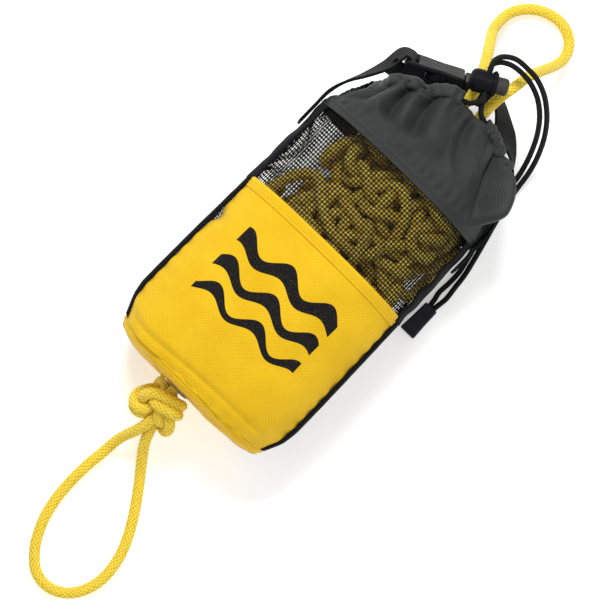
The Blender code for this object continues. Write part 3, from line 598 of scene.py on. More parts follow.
def printed_cloth(*cloth):
    """The yellow cloth with three printed wave stripes, a plain water motif."""
    s = coated_shader(*cloth)
    uv = s.uv()
    split = s.tree.nodes.new("ShaderNodeSeparateXYZ")
    s.set(split, 0, uv)
    across, along = split.outputs[0], split.outputs[1]
    ink = None
    for middle, half, phase in PRINT_STRIPES:
        turn = s.times(across, 2 * math.pi / PRINT_WAVELENGTH)
        wave = s.math("SINE", s.math("ADD", turn, phase))
        swing = s.times(wave, PRINT_SWING)
        line = s.math("SUBTRACT", along, s.math("ADD", swing, middle))
        swell = s.math("ADD", s.times(wave, PRINT_SWELL), half)
        inside = s.math("SUBTRACT", swell, s.math("ABSOLUTE", line))
        near = s.ramp(inside, -PRINT_EDGE, PRINT_EDGE)
        ink = near if ink is None else s.math("MAXIMUM", ink, near)
    off_centre = s.math("ABSOLUTE", s.math("SUBTRACT", across, PRINT_MIDDLE))
    reach = s.math("SUBTRACT", PRINT_HALF_LENGTH, off_centre)
    ink = s.times(ink, s.ramp(reach, -PRINT_EDGE, PRINT_EDGE))
    flecks = s.ramp(s.noise(uv, 2600.0, 2.0), 0.30, 0.36)
    ink = s.times(ink, s.math("ADD", s.times(flecks, 0.35), 0.65))
    plain = s.bsdf.inputs["Base Color"].links[0].from_socket
    s.set(s.bsdf, "Base Color", s.blend(ink, plain, PRINT_BLACK))
    return s.mat


def stuffed_rope_finish(name):
    """The same rope inside the bag, with its braid drawn by the shader, painted shade in its grooves,
    and a colour painted lighter than the outer rope's as painted light inside the bag.
    """
    s = Shader(name, ROPE_INSIDE_PAINTED_LIGHTER, 0.45, Sheen_Weight=0.1, Sheen_Roughness=0.4)
    split = s.tree.nodes.new("ShaderNodeSeparateXYZ")
    s.set(split, 0, s.uv())
    turns = s.times(split.outputs[0], ROPE_CARRIERS / (ROPE_D * math.pi * MM))
    picks = s.times(split.outputs[1], 1 / INSIDE_PICK)
    u, v = s.math("ADD", turns, picks), s.math("SUBTRACT", turns, picks)
    parity = s.math("FLOORED_MODULO", s.math("ADD", s.math("FLOOR", u), s.math("FLOOR", v)), 2.0)
    over, under = s.math("FRACT", v), s.math("FRACT", u)
    across = s.plus(s.times(over, s.math("SUBTRACT", 1.0, parity)), under, parity)
    ridge = s.math("SINE", s.times(across, math.pi))
    patches = s.noise(s.position(), 90.0, 2.0)
    # painted shade: the grooves between the braid's ridges go towards the darker colour
    shade = s.math("SUBTRACT", 1.0, s.ramp(ridge, 0.1, 0.85))
    shade = s.plus(shade, s.ramp(patches, 0.5, 0.8), 0.15)
    s.set(s.bsdf, "Base Color", s.blend(shade, ROPE_INSIDE_PAINTED_LIGHTER, ROPE_INSIDE_SHADE_AND_TONE))
    s.bump(ridge, 0.0004)
    return s.mat


MATS = {
    "yellow_print": printed_cloth("yellow_printed_nylon", CLOTH_YELLOW, CLOTH_YELLOW_SHADE_AND_TONE, 0.55,
                                  0.00062, 0.55),
    "rope_inside": stuffed_rope_finish("stuffed_rope"),
    "yellow": coated_shader("yellow_coated_nylon", CLOTH_YELLOW, CLOTH_YELLOW_SHADE_AND_TONE, 0.55,
                            0.00062, 0.55).mat,
    # second grey: painted shade for the weave's hollows, with random tone
    "grey": coated_shader("grey_coated_nylon", (0.030, 0.033, 0.032), (0.017, 0.019, 0.019),
                          0.50, 0.00050, 0.35, 0.22).mat,
    # second colour: painted shade for the braid's grooves, with random tone
    "rope": braided("yellow_rope", (0.93, 0.70, 0.060), (0.60, 0.36, 0.015), 0.42, 0.15),
    # second colour: painted shade for the cord's braid grooves, with random tone
    "cord": braided("black_cord", (0.007, 0.007, 0.008), (0.002, 0.002, 0.002), 0.6, 0.0),
    # second colour is lighter: painted light on the webbing's raised yarns, with random fibre tone
    "tape": woven_tape("black_webbing", (0.003, 0.003, 0.004), (0.013, 0.013, 0.015), 0.0011),
    "net": moulded("coated_mesh", (0.005, 0.005, 0.005), 0.5, (0.010, 0.010, 0.011)),
    "hard": moulded("black_acetal", (0.004, 0.004, 0.005), 0.52, (0.010, 0.010, 0.012)),
    "button": moulded("button_plastic", (0.042, 0.044, 0.039), 0.42, (0.060, 0.062, 0.055)),
    "cord_end": moulded("cord_end_plastic", (0.024, 0.024, 0.032), 0.40, (0.040, 0.040, 0.050)),
    # second colour: painted shade for the thread's grooves, with random tone
    "thread": braided("black_thread", (0.012, 0.012, 0.012), (0.004, 0.004, 0.004), 0.6, 0.1),
    "metal": plain_metal("plated_metal"),
    "foam": closed_cell_foam("closed_cell_foam"),
}


# ---------------------------------------------------------------- camera, floor and light

def add_camera():
    """A nearly overhead camera, rolled so that the bag runs to the upper right."""
    tilt = math.radians(CAMERA_TILT_DEG)
    roll = math.radians(CAMERA_ROLL_DEG)
    target = Vector(CAMERA_TARGET)
    back = Vector((0.0, -math.sin(tilt), math.cos(tilt)))
    spot = target + back * CAMERA_DISTANCE
    screen_up = Vector((-math.sin(roll), math.cos(roll), 0.0))
    right = screen_up.cross(back).normalized()
    up = back.cross(right)
    data = bpy.data.cameras.new("camera")
    data.lens = LENS
    data.clip_start = 0.01
    obj = bpy.data.objects.new("camera", data)
    matrix = Matrix((right, up, back)).transposed().to_4x4()
    matrix.translation = spot * MM
    obj.matrix_world = matrix
    bpy.context.collection.objects.link(obj)
    bpy.context.scene.camera = obj


def add_floor():
    """A pale seamless floor, level with the lowest point of the sagging back."""
    s = Shader("floor", (0.93, 0.93, 0.93), 0.85)
    grain = s.noise(s.position(), 60.0, 2.0)
    s.set(s.bsdf, "Base Color", s.blend(grain, (0.95, 0.95, 0.95), (0.93, 0.93, 0.93)))
    s.set(s.bsdf, "Emission Color", (1.0, 1.0, 1.0, 1.0))
    s.set(s.bsdf, "Emission Strength", FLOOR_GLOW)
    corners = [(x * FLOOR_HALF_SIZE, y * FLOOR_HALF_SIZE, FLOOR_Z)
               for x, y in ((-1, -1), (1, -1), (1, 1), (-1, 1))]
    mesh = bpy.data.meshes.new("floor")
    mesh.from_pydata([tuple(c * MM for c in p) for p in corners], [], [(0, 1, 2, 3)])
    mesh.materials.append(s.mat)
    obj = bpy.data.objects.new("floor", mesh)
    bpy.context.collection.objects.link(obj)


def add_light(name, spot, size, energy, target=(0.0, 0.0, 30.0)):
    """A square area light that looks at the bag."""
    data = bpy.data.lights.new(name, "AREA")
    data.size = size * MM
    data.energy = energy
    obj = bpy.data.objects.new(name, data)
    spot = Vector(spot) * MM
    obj.location = spot
    aim = Vector(target) * MM - spot
    obj.rotation_euler = aim.to_track_quat("-Z", "Y").to_euler()
    bpy.context.collection.objects.link(obj)


def add_lights():
    """Large soft lights above, and a bright even surround."""
    add_light("key", (-500.0, 500.0, 1100.0), size=460.0, energy=13.6)
    add_light("fill", (800.0, -500.0, 900.0), size=1100.0, energy=4.2)
    bpy.context.scene.view_settings.view_transform = "Standard"
    world = bpy.data.worlds.new("studio")
    bpy.context.scene.world = world
    world.use_nodes = True
    background = world.node_tree.nodes["Background"]
    background.inputs["Color"].default_value = (1.0, 1.0, 1.0, 1.0)
    background.inputs["Strength"].default_value = WORLD_STRENGTH


# ---------------------------------------------------------------- free rope and cords

def rope_tube(name, path):
    """Rope with its braid modelled, on a line of evenly spaced points."""
    return tube_piece(name, path, ROPE_D / 2, 44, MATS["rope"], "bag", carriers=ROPE_CARRIERS,
                      pick=ROPE_PICK, depth=ROPE_BRAID_DEPTH)


def separate(points, keep, distance, push, stiff=0.5):
    """Push apart every pair of points in the list that is closer than the distance."""
    a, b = push
    gap = points[b] - points[a]
    size = np.linalg.norm(gap, axis=1)
    near = size < distance
    a, b, gap, size = a[near], b[near], gap[near], size[near]
    move = gap * ((distance - size) / np.maximum(size, 1e-6))[:, None] * 0.5 * stiff
    shift = np.zeros_like(points)
    count = np.zeros(len(points))
    np.add.at(shift, a, -move)
    np.add.at(shift, b, move)
    np.add.at(count, a, 1)
    np.add.at(count, b, 1)
    points += shift / np.maximum(np.sqrt(count), 1)[:, None] * keep[:, None]


def near_pairs(points, strand, order, reach, skip):
    """Index pairs closer than reach, leaving out close neighbours on the same strand."""
    low, high = [], []
    squares = (points ** 2).sum(1)
    for start in range(0, len(points), 500):
        part = points[start:start + 500]
        d2 = (part ** 2).sum(1)[:, None] + squares[None] - 2 * part @ points.T
        i, j = np.nonzero(d2 < reach * reach)
        i += start
        good = (i < j) & ((strand[i] != strand[j]) | (np.abs(order[i] - order[j]) > skip))
        low.append(i[good])
        high.append(j[good])
    return np.concatenate(low), np.concatenate(high)


def keep_spacing(points, keep, links, lengths, stiff):
    """Pull linked points to their set distance."""
    for first in (0, 1):
        a, b = links[first::2, 0], links[first::2, 1]
        rest = lengths[first::2]
        gap = points[b] - points[a]
        size = np.linalg.norm(gap, axis=1)
        weight = np.maximum(keep[a] + keep[b], 1e-9)
        move = gap * ((size - rest) / np.maximum(size, 1e-6) / weight)[:, None] * stiff
        points[a] += move * keep[a][:, None]
        points[b] -= move * keep[b][:, None]


def keep_bend(points, keep, triples, limit, stiff):
    """Keep points two apart at least the limit apart, so that no bend is too tight."""
    a, b = triples[:, 0], triples[:, 2]
    gap = points[b] - points[a]
    size = np.linalg.norm(gap, axis=1)
    short = np.clip(limit - size, 0, None)
    move = gap * (short / np.maximum(size, 1e-6))[:, None] * 0.5 * stiff
    shift = np.zeros_like(points)
    np.add.at(shift, a, -move)
    np.add.at(shift, b, move)
    points += shift * keep[:, None]


def figure_eight(count):
    """A loose open figure-eight knot whose two ends lead off along the Y axis."""
    t = np.linspace(0, 2 * math.pi, count)
    radius = 2 + np.cos(2 * t)
    closed = np.stack((radius * np.cos(3 * t), radius * np.sin(3 * t), np.sin(4 * t) * 0.9), 1)
    closed *= FIGURE_EIGHT_SIZE
    trimmed = closed[6:-6]
    low = trimmed[0] + unit(trimmed[0] - trimmed[3]) * 18.0 + np.array((0, 0, -4.0))
    high = trimmed[-1] + unit(trimmed[-1] - trimmed[-4]) * 18.0 + np.array((0, 0, 4.0))
    far = 88.0
    start = np.array(((22.0, -far, -4.0), (low[0] - 14, low[1] - 22.0, -4.0)))
    end = np.array(((high[0] - 14, high[1] + 22.0, 4.0), (22.0, far, 4.0)))
    line = np.concatenate((start, low[None], trimmed[::6], high[None], end))
    return smooth_route(line, 3.0)


def tie_knot(centre_line, doubled, steps):
    """Draw a loose knot tight: each strand shortens like a pulled rope, and strands never meet."""
    tangent, _, _ = line_frames(centre_line)
    flat = unit(np.cross(tangent, (0.0, 0.0, 1.0)))
    offsets = (-ROPE_D * 0.53, ROPE_D * 0.53) if doubled else (0.0,)
    strands = [even(centre_line + flat * o, KNOT_SPACING) for o in offsets]
    for step in range(steps):
        if step % 5 == 0:
            strands = [even(s, KNOT_SPACING) for s in strands]
            points = np.concatenate(strands)
            strand = np.concatenate([np.full(len(s), k) for k, s in enumerate(strands)])
            order = np.concatenate([np.arange(len(s)) for s in strands])
            ends = np.array([len(s) for s in strands])[strand] - 1
            keep = np.where((order == 0) | (order == ends), 0.0, 1.0)
            free = np.nonzero(keep)[0]
            triples = np.stack((free - 1, free, free + 1), 1)
            pairs = near_pairs(points, strand, order, ROPE_D * 1.5, 3)
        middle = (points[free - 1] + points[free + 1]) / 2
        points[free] += (middle - points[free]) * 0.55
        for _ in range(5):
            keep_bend(points, keep, triples, KNOT_BEND, 0.5)
            separate(points, keep, ROPE_D * KNOT_CONTACT, pairs, 0.9)
        strands = [points[strand == k] for k in range(len(offsets))]
    return strands


def knot_middle(strands):
    """The knot's middle, found from where the strands' points bunch together."""
    points = np.concatenate(strands)
    density = [np.sum(np.linalg.norm(points - p, axis=1) < 14.0) for p in points]
    return points[np.argsort(density)[-12:]].mean(0)


# ---------------------------------------------------------------- body panels

def angles_of(edge, count, back=False):
    """Angles from the right seam to the left one, evenly spaced along the cloth."""
    if back:
        return even_angles(edge, -math.pi - edge, count)
    return even_angles(edge, math.pi - edge, count)


def seam_strip(y_values, middle, half, columns):
    """A strip of places over a side seam, and how far across the strip they are, -1 to 1."""
    angles = np.linspace(middle - half, middle + half, columns)
    y, angle = np.meshgrid(y_values, angles, indexing="ij")
    return y, angle, np.broadcast_to(np.linspace(-1, 1, columns)[None, :], y.shape)


def front_relief(across, y, width):
    """How far the stuffed front panel's cloth stands out of its plain surface."""
    swell = waves(across, y, 11, 34.0, 70.0) * 0.42
    soft = waves(across * 0.6, y, 12, 12.0, 24.0) * 0.16
    side = np.minimum(across, width - across)
    pucker = np.sin(y * 0.62 + waves(across, y, 13, 20.0, 40.0) * 0.9)
    pucker *= 0.40 * np.exp(-side / 7.0)
    bottom = np.sin(across * 0.5 + waves(across, y, 14, 22.0, 45.0)) * 0.38
    bottom *= np.exp(-(y - BASE_Y) / 8.0)
    crease_y = BASE_Y + CREASE_ABOVE_BASE + 1.4 * np.sin(across * 0.045)
    crease = -1.1 * np.exp(-((y - crease_y) / 1.9) ** 2)
    crease *= smooth_step(0, 25, across) * smooth_step(0, 12, width - across)
    pinch = np.exp(-((across - width) / 7.0) ** 2 - ((y - PINCH_Y) / 6.0) ** 2)
    fade = smooth_step(0, 5, side) * 0.85 + 0.15
    return (swell + soft) * fade + pucker + bottom + crease - PINCH_DEPTH * pinch


def add_front_panel():
    """Yellow coated-nylon front panel with its folded hem."""
    edge = SEAM_ANGLE + SEAM_GAP_ANGLE
    angles, width = angles_of(edge, 300)
    hem_low = WINDOW_LOW_Y - HEM_HEIGHT
    y_values = np.concatenate((np.linspace(BASE_Y, hem_low, 200),
                               np.linspace(hem_low + 0.25, WINDOW_LOW_Y - 0.35, 16)))
    y, a = np.meshgrid(y_values, angles, indexing="ij")
    across = np.broadcast_to(np.linspace(0, width, len(angles))[None, :], y.shape)
    hem = smooth_step(hem_low, hem_low + 0.5, y) * HEM_RISE
    hem = hem + 0.35 * np.exp(-((y - WINDOW_LOW_Y + 1.6) / 1.2) ** 2)
    stitch_dip = -0.28 * np.exp(-((y - hem_low - 1.5) / 0.5) ** 2)
    relief = front_relief(across, y, width)
    relief = relief * (1 - 0.55 * smooth_step(hem_low - 12, hem_low, y))
    grid = body_points(y, a, hem + relief + stitch_dip)
    grid[..., 1] += 0.8 * np.exp(-(y - BASE_Y) / 6.0) * np.sin(across * 0.11)
    uv = np.stack((across, y), -1)
    panel = cloth_shell("front_panel_cloth", grid, CLOTH_THICKNESS, MATS["yellow_print"], "bag",
                        uv=uv)
    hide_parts("front_panel")
    # The hem's stitches are drawn larger and closer than the thread alone, so that their dark row
    # also stands for the shadow line along the hem's edge: partly real stitching, partly painted
    # shadow.
    stitches = stitch_row("hem_stitches", along_surface(grid, uv, hem_low + 1.5), STITCH_PITCH,
                          size=(0.60, 0.30), fill=0.85)


def along_surface(grid, uv, y_wanted):
    """The row of a panel's grid nearest to the wanted height of its flat coordinates."""
    rows = uv[:, 0, 1]
    return grid[int(np.argmin(np.abs(rows - y_wanted)))]


def stitch_row(name, line, pitch, size=(0.30, 0.16), fill=0.68):
    """A row of thread stitches, each a small bent bead, lying on a line of points."""
    path = even(line, 0.5)
    along = run_along(path)
    out_of = unit((path - (0.0, 0.0, FILL_MIDDLE_Z)) * (1.0, 0.0, 1.0))
    rings, sides = 7, 8
    t = np.linspace(-0.5, 0.5, rings)
    thick = np.sqrt(np.clip(1 - (2 * t) ** 2, 0.02, 1))[:, None, None]
    arch = ((1 - (2 * t) ** 4) * STITCH_ARCH + STITCH_LIFT)[:, None]
    turn = np.arange(sides) * 2 * math.pi / sides
    wide = np.cos(turn)[None, :, None] * size[0] * thick
    high = np.sin(turn)[None, :, None] * size[1] * thick
    points, faces = [], []
    for k in range(int(along[-1] / pitch)):
        places = (k + 0.5) * pitch + t * pitch * fill
        centre = read_line(places, along, path)
        normal = read_line(places, along, out_of)
        side = unit(np.cross(unit(np.gradient(centre, axis=0)), normal))
        ring = (centre + normal * arch)[:, None]
        ring = ring + side[:, None] * wide
        ring = ring + normal[:, None] * high
        points.append(ring.reshape(-1, 3))
        faces.append(grid_faces(rings, sides, wrap_columns=True, first=k * rings * sides))
    return add_piece(name, np.concatenate(points), np.concatenate(faces), MATS["thread"], "bag")


def crossing_threads(base, normal, rise):
    """The lines of a lattice's two families of threads, with their outward directions."""
    rows, columns = base.shape[:2]
    over = base + normal * rise[..., None]
    under = base - normal * rise[..., None]
    threads = [(over[::2, c], normal[::2, c]) for c in range(0, columns, 2)]
    return threads + [(under[r, ::2], normal[r, ::2]) for r in range(0, rows, 2)]


def lattice(name, y_low, y_high, edge, back, sides):
    """A square mesh of crossing threads over part of the body."""
    _, width = angles_of(edge, 10, back)
    columns = int(round(width / MESH_PITCH)) * 2 + 1
    rows = int(round((y_high - y_low) / MESH_PITCH)) * 2 + 1
    angles, _ = angles_of(edge, columns, back)
    y, a = np.meshgrid(np.linspace(y_low, y_high, rows), angles, indexing="ij")
    across = np.linspace(0, width, columns)[None, :]
    sag = waves(across + y * 0, y, 21 if back else 22, 30.0, 60.0) * 0.5
    checker = (np.arange(rows)[:, None] // 2 + np.arange(columns)[None, :] // 2) % 2
    base = body_points(y, a, -0.5 + sag)
    normal = unit(body_points(y, a, 1.0) - body_points(y, a, 0.0))
    turn = (np.arange(sides) + 0.5) * 2 * math.pi / sides
    points, faces, first = [], [], 0
    rise = np.where(checker, MESH_THREAD_RISE, -MESH_THREAD_RISE)
    for path, out in crossing_threads(base, normal, rise):
        side = unit(np.cross(unit(np.gradient(path, axis=0)), out))
        ring = path[:, None] + side[:, None] * (np.cos(turn) * MESH_THREAD / 2 * 1.1)[None, :, None]
        ring = ring + out[:, None] * (np.sin(turn) * 0.26)[None, :, None]
        points.append(ring.reshape(-1, 3))
        faces.extend(grid_faces(len(path), sides, wrap_columns=True, first=first).tolist())
        faces.append(list(range(first, first + sides))[::-1])
        first += len(path) * sides
        faces.append(list(range(first - sides, first)))
    return add_piece(name, np.concatenate(points), faces, MATS["net"], "bag"), width


def add_meshes():
    """The window's mesh and the full back's mesh."""
    inset = TAPE_HALF_ANGLE + SEAM_GAP_ANGLE
    window, width = lattice("window_net", WINDOW_LOW_Y - 4.0, WINDOW_HIGH_Y + 2.0,
                            SEAM_ANGLE + inset - 0.05, back=False, sides=6)
    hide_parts("window_mesh")
    back, width = lattice("back_net", BASE_Y + 0.5, WINDOW_HIGH_Y,
                          SEAM_ANGLE - inset + 0.05, back=True, sides=4)
    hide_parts("back_mesh")


def add_side_tapes():
    """Binding tape over the window's side seams, and the folded seam allowance below it."""
    y_values = np.linspace(WINDOW_LOW_Y - 3.0, WINDOW_HIGH_Y - 0.3, 120)
    columns = 21
    for side, middle in SEAMS:
        y, angle, across = seam_strip(y_values, middle, TAPE_HALF_ANGLE, columns)
        wave = waves(across * 4, y, 31 + len(side), 9.0, 26.0) * 0.55
        grid = body_points(y, angle, 1.35 + wave * 0.7 - across ** 6 * 0.6)
        width = np.linalg.norm(grid[0, 0] - grid[0, -1])
        uv = np.stack((across * width / 2, y), -1)
        tape = cloth_shell("side_tape_%s_cloth" % side, grid, TAPE_THICKNESS, MATS["tape"],
                           "bag", uv=uv)
        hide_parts("side_tape_" + side)
        for k, column in enumerate((3, columns - 4)):
            stitch_row("side_tape_%s_stitches_%d" % (side, k), grid[:, column],
                       TAPE_STITCH_PITCH)
    seam_edges()


def seam_edges():
    """The black bound edge that shows beside the yellow panel, along both side seams."""
    y_values = np.linspace(BASE_Y + 0.4, WINDOW_LOW_Y - 2.0, 260)
    for side, middle in SEAMS:
        y, angle, across = seam_strip(y_values, middle, BINDING_HALF_ANGLE, 13)
        wave = waves(across * 2, y, 35 + len(side), 7.0, 20.0) * 0.5
        grid = body_points(y, angle, 2.0 + wave * 0.12 - across ** 4 * 1.0)
        uv = np.stack((across * 2.2, y), -1)
        cloth_shell("seam_binding_" + side, grid, CLOTH_THICKNESS, MATS["tape"], "bag", uv=uv)


def base_ring(angles, centre, s, hole):
    """One ring of the base cloth, at s of the way from its middle out to its rim."""
    edge = body_points(BASE_Y, angles)
    ring = centre + (edge - centre) * s
    if s < 0.4:
        spokes = np.stack((np.cos(angles), angles * 0, np.sin(angles)), 1)
        t = smooth_step(hole, 0.4, s)
        ring = (centre + spokes * GROMMET_HOLE_RADIUS) * (1 - t) + ring * t
    wrinkle = waves(ring[:, 0], ring[:, 2], 41, 16.0, 40.0) * 0.7
    radial = np.sin(angles * 17 + waves(ring[:, 0], ring[:, 2], 42, 30.0, 50.0)) * 0.45
    lift = wrinkle * smooth_step(0.2, 0.6, s) * (1 - s ** 6) + radial * s ** 3 * (1 - s ** 8)
    rim = 1.1 * math.exp(-((s - 0.975) / 0.012) ** 2)
    dent = -0.8 * math.exp(-((s - 0.94) / 0.012) ** 2)
    ring[:, 1] = (BASE_Y - 0.35 - 2.6 * (1 - s ** 4) - 1.2 * (1 if s < 0.99 else 0.5)
                  - lift - rim - dent + corner_lift(ring[:, 0], BASE_Y) * s ** 2)
    return ring


def add_base():
    """The bulged yellow base with its sewn rim."""
    columns = 320
    angles, _ = even_angles(0.0, 2 * math.pi * (1 - 1 / columns), columns)
    scale = np.concatenate((np.linspace(0.16, 0.9, 40), np.linspace(0.915, 1.0, 20)))
    centre = np.array((BASE_EXIT[0], 0.0, BASE_EXIT[2]))
    grid = np.stack([base_ring(angles, centre, s, scale[0]) for s in scale])
    uv = np.stack((grid[..., 0], grid[..., 2]), -1)
    base = cloth_shell("base_cloth", grid[:, ::-1], TAPE_THICKNESS, MATS["yellow"], "bag",
                       wrap=True, uv=uv[:, ::-1])
    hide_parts("base_disc")
    rim_angles, _ = even_angles(0.0, 2 * math.pi, 700)
    rim = body_points(BASE_Y - 0.2, rim_angles, -0.5)
    piping = tube_piece("base_seam", rim, 1.15, 14, MATS["yellow"], "bag")


# ---------------------------------------------------------------- collar

MOUTH_EDGE = np.array((  # angle round the bag, then X, Y, Z
    (0, 42.0, 115.5, 38.0),
    (25, 35.5, 121.5, 49.5),
    (50, 22.5, 127.5, 57.5),
    (72, 7.0, 129.5, 60.5),
    (95, -8.0, 128.0, 60.5),
    (112, -20.0, 119.5, 61.0),
    (130, -32.0, 115.0, 61.0),
    (145, -38.0, 107.0, 58.5),
    (160, -43.5, 95.5, 52.0),
    (180, -51.0, 87.0, 40.0),
    (205, -46.5, 97.0, 27.5),
    (230, -36.0, 110.5, 21.0),
    (255, -19.0, 119.0, 18.0),
    (280, 0.0, 122.5, 17.0),
    (305, 19.0, 121.5, 19.0),
    (330, 34.0, 118.5, 26.5),
))
CASING_GAP_DEG = (61.0, 86.0)
MOUTH_MIDDLE = np.array((0.0, 108.0, 38.0))


def mouth_edge(angle_deg):
    """Points of the collar's upper edge at angles round the bag."""
    angle = np.atleast_1d(np.asarray(angle_deg, float)) % 360.0
    count = len(MOUTH_EDGE)
    starts = MOUTH_EDGE[:, 0]
    index = np.searchsorted(starts, angle, side="right") - 1
    ends = np.append(starts[1:], 360.0)
    f = ((angle - starts[index]) / (ends[index] - starts[index]))[:, None]
    return spline(*(MOUTH_EDGE[(index + k) % count, 1:] for k in (-1, 0, 1, 2)), f)


def mouth_rise(edge):
    """Directions in which the fabric runs out at the mouth."""
    lean = MOUTH_MIDDLE - edge
    lean[:, 1] = 0.0
    return unit(np.array((0.0, 1.0, 0.0)) + unit(lean) * 0.25)


def collar_form(columns, rows):
    """The collar's plain surface: rows from the hem up to the mouth, closed round the bag."""
    angles, _ = even_angles(0.0, 2 * math.pi * (1 - 1 / columns), columns)
    base_y = WINDOW_HIGH_Y
    top = mouth_edge(np.degrees(angles))
    room = np.maximum(top[:, 1] - base_y, 3.0)
    start_y = np.minimum(HEM_HEIGHT - 1.0, room * 0.45)
    start = body_points(base_y + start_y, angles, 0.5)
    reach = ((top[:, 1] - start[:, 1]) * 0.5)[:, None]
    bend = start + np.array((0.0, 1.0, 0.0)) * reach
    lead = top - mouth_rise(top) * reach * 0.8
    grid = np.zeros((rows, columns, 3))
    hem_rows = 8
    for r in range(hem_rows):
        t = r / hem_rows
        grid[r] = body_points(base_y + start_y * t, angles, 0.9)
    for r in range(hem_rows, rows):
        t = (r - hem_rows) / (rows - 1 - hem_rows)
        grid[r] = (start * (1 - t) ** 3 + bend * 3 * t * (1 - t) ** 2
                   + lead * 3 * t * t * (1 - t) + top * t ** 3)
    return grid, angles, hem_rows


def fold(angle_deg, t, at, width, depth, low, high, lean=0.0):
    """One soft fold that runs up the collar at an angle round the bag."""
    off = (angle_deg - at - lean * (t - 0.5) + 180) % 360 - 180
    rise = smooth_step(low, low + 0.3, t) * (1 - smooth_step(high - 0.12, high + 0.12, t) * 0.5)
    return depth * np.exp(-(off / width) ** 2) * rise


FOLD_DEPTH = 1.25
COLLAR_FOLDS = (  # angle, width in degrees, depth in mm, from and to (0 hem, 1 mouth), lean
    (31, 5.6, -12.5, 0.00, 1.0, -7.0),
    (39, 4.0, 3.4, 0.05, 1.0, -6.0),
    (19, 5.0, 3.4, 0.05, 1.0, -3.0),
    (8, 3.5, -3.0, 0.20, 1.0, 2.0),
    (59, 5.0, -2.6, 0.15, 1.1, 4.0),
    (70, 5.0, 2.6, 0.20, 1.1, 3.0),
    (89, 6.0, -4.2, 0.12, 1.1, 9.0),
    (99, 4.5, 3.6, 0.12, 1.1, 10.0),
    (108, 4.5, -3.8, 0.08, 1.1, 12.0),
    (117, 5.0, 3.6, 0.12, 1.1, 12.0),
    (127, 5.0, -2.8, 0.10, 1.1, 5.0),
    (138, 5.0, 1.4, 0.15, 1.0, -4.0),
    (150, 4.5, -1.8, 0.10, 1.0, -6.0),
)


def collar_height(grid, angles, t):
    """How far the collar's cloth stands out of its plain surface: folds, gathers and waves."""
    rows, columns = grid.shape[:2]
    height = np.zeros((rows, columns))
    for at, width, depth, low, high, lean in COLLAR_FOLDS:
        height += FOLD_DEPTH * fold(np.degrees(angles)[None, :], t, at, width, depth, low, high, lean)
    ring = np.cumsum(np.linalg.norm(np.diff(grid[-1], axis=0, append=grid[-1][:1]), axis=1))
    gather = np.sin(ring * 2 * math.pi / 6.3 + 2.2 * waves(ring, ring * 0, 51, 20.0, 60.0, 6))
    gather = gather[None, :] * (0.15 + 1.0 * smooth_step(0.62, 1.0, t)) * 0.62
    height += gather * smooth_step(0.35, 0.9, t)
    body_line = np.linspace(0, COLLAR_ROUND, columns)[None, :]
    height += waves(body_line, t * 45.0, 52, 14.0, 40.0) * 0.55 * smooth_step(0, 0.3, t)
    puckers = 0.4 * np.sin(body_line * 0.9 + waves(body_line, t * 20, 53, 20.0, 50.0))
    height += puckers * np.exp(-(t / 0.12) ** 2) * smooth_step(0.0, 0.03, t)
    return height * (1 - 0.35 * smooth_step(0.96, 1.0, t))


def hem_profile(rows, hem_rows):
    """How far the collar's folded hem stands out, row by row."""
    hem = np.zeros((rows, 1))
    hem[:hem_rows - 1] = 0.55
    hem[hem_rows - 2] = -0.1
    hem[hem_rows - 1] = 0.3
    return hem


def add_collar():
    """The grey collar: gathered cloth with its hem, folds and puckers."""
    columns, rows = 540, 76
    grid, angles, hem_rows = collar_form(columns, rows)
    t = np.clip((np.arange(rows) - hem_rows) / (rows - 1 - hem_rows), 0, 1)[:, None]
    out = collar_height(grid, angles, t) + hem_profile(rows, hem_rows)
    grid = grid + grid_normals(grid, True) * out[..., None]
    along = np.concatenate((np.zeros((1, columns)), np.cumsum(np.linalg.norm(
        np.diff(grid, axis=0), axis=2), axis=0)))
    top = grid[-1]
    _, rise, _ = casing_frames(np.degrees(angles))
    moved = top - mouth_edge(np.degrees(angles))
    for part in (0.35, 0.7, 1.0):
        row = top + rise * 3.4 * part
        grid = np.concatenate((grid, row[None]))
    along = np.concatenate((along, along[-1:] + 1.2, along[-1:] + 2.4, along[-1:] + 3.4))
    body_line = np.linspace(0, COLLAR_ROUND, columns)[None, :]
    uv = np.stack((np.broadcast_to(body_line, along.shape), along), -1)
    collar = cloth_shell("collar_cloth", grid, CLOTH_THICKNESS, MATS["grey"], "bag", wrap=True,
                         uv=uv)
    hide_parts("collar")
    stitches = stitch_row("collar_hem_stitches", grid[hem_rows - 3], STITCH_PITCH)
    return moved


def casing_frames(angles_deg):
    """Centres and axes of the casing along the mouth."""
    edge = mouth_edge(angles_deg)
    rise = mouth_rise(edge)
    ahead = mouth_edge(angles_deg + 2) - mouth_edge(angles_deg - 2)
    side = unit(np.cross(ahead, rise))
    up = unit(np.cross(side, ahead))
    return edge + up * (CASING_HEIGHT / 2 + CLOTH_THICKNESS), up, side


def casing_outline(centre, up, side, along, turn):
    """The casing's gathered outer surface, ring by ring round the cord."""
    beat = along * 2 * math.pi / 5.2 + 2.4 * waves(along, along * 0, 61, 16.0, 50.0, 6)
    deep = 0.62 + 0.38 * waves(along, along * 0, 62, 18.0, 40.0, 6)
    tall = 3.75 + 0.30 * waves(along, along * 0, 63, 9.0, 26.0, 6)
    c, s = np.cos(turn)[None, :], np.sin(turn)[None, :]
    ripple = np.sin(beat[:, None] + 0.9 * s) * deep[:, None] * 0.5
    wide = (2.25 + ripple) * power(c, 0.8)
    high = (tall[:, None] + ripple * 0.5) * power(s, 0.8)
    outer = centre[:, None] + side[:, None] * wide[..., None] + up[:, None] * high[..., None]
    lean = unit(np.gradient(centre, axis=0))[:, None]
    return outer + lean * (s[..., None] * 0.7)


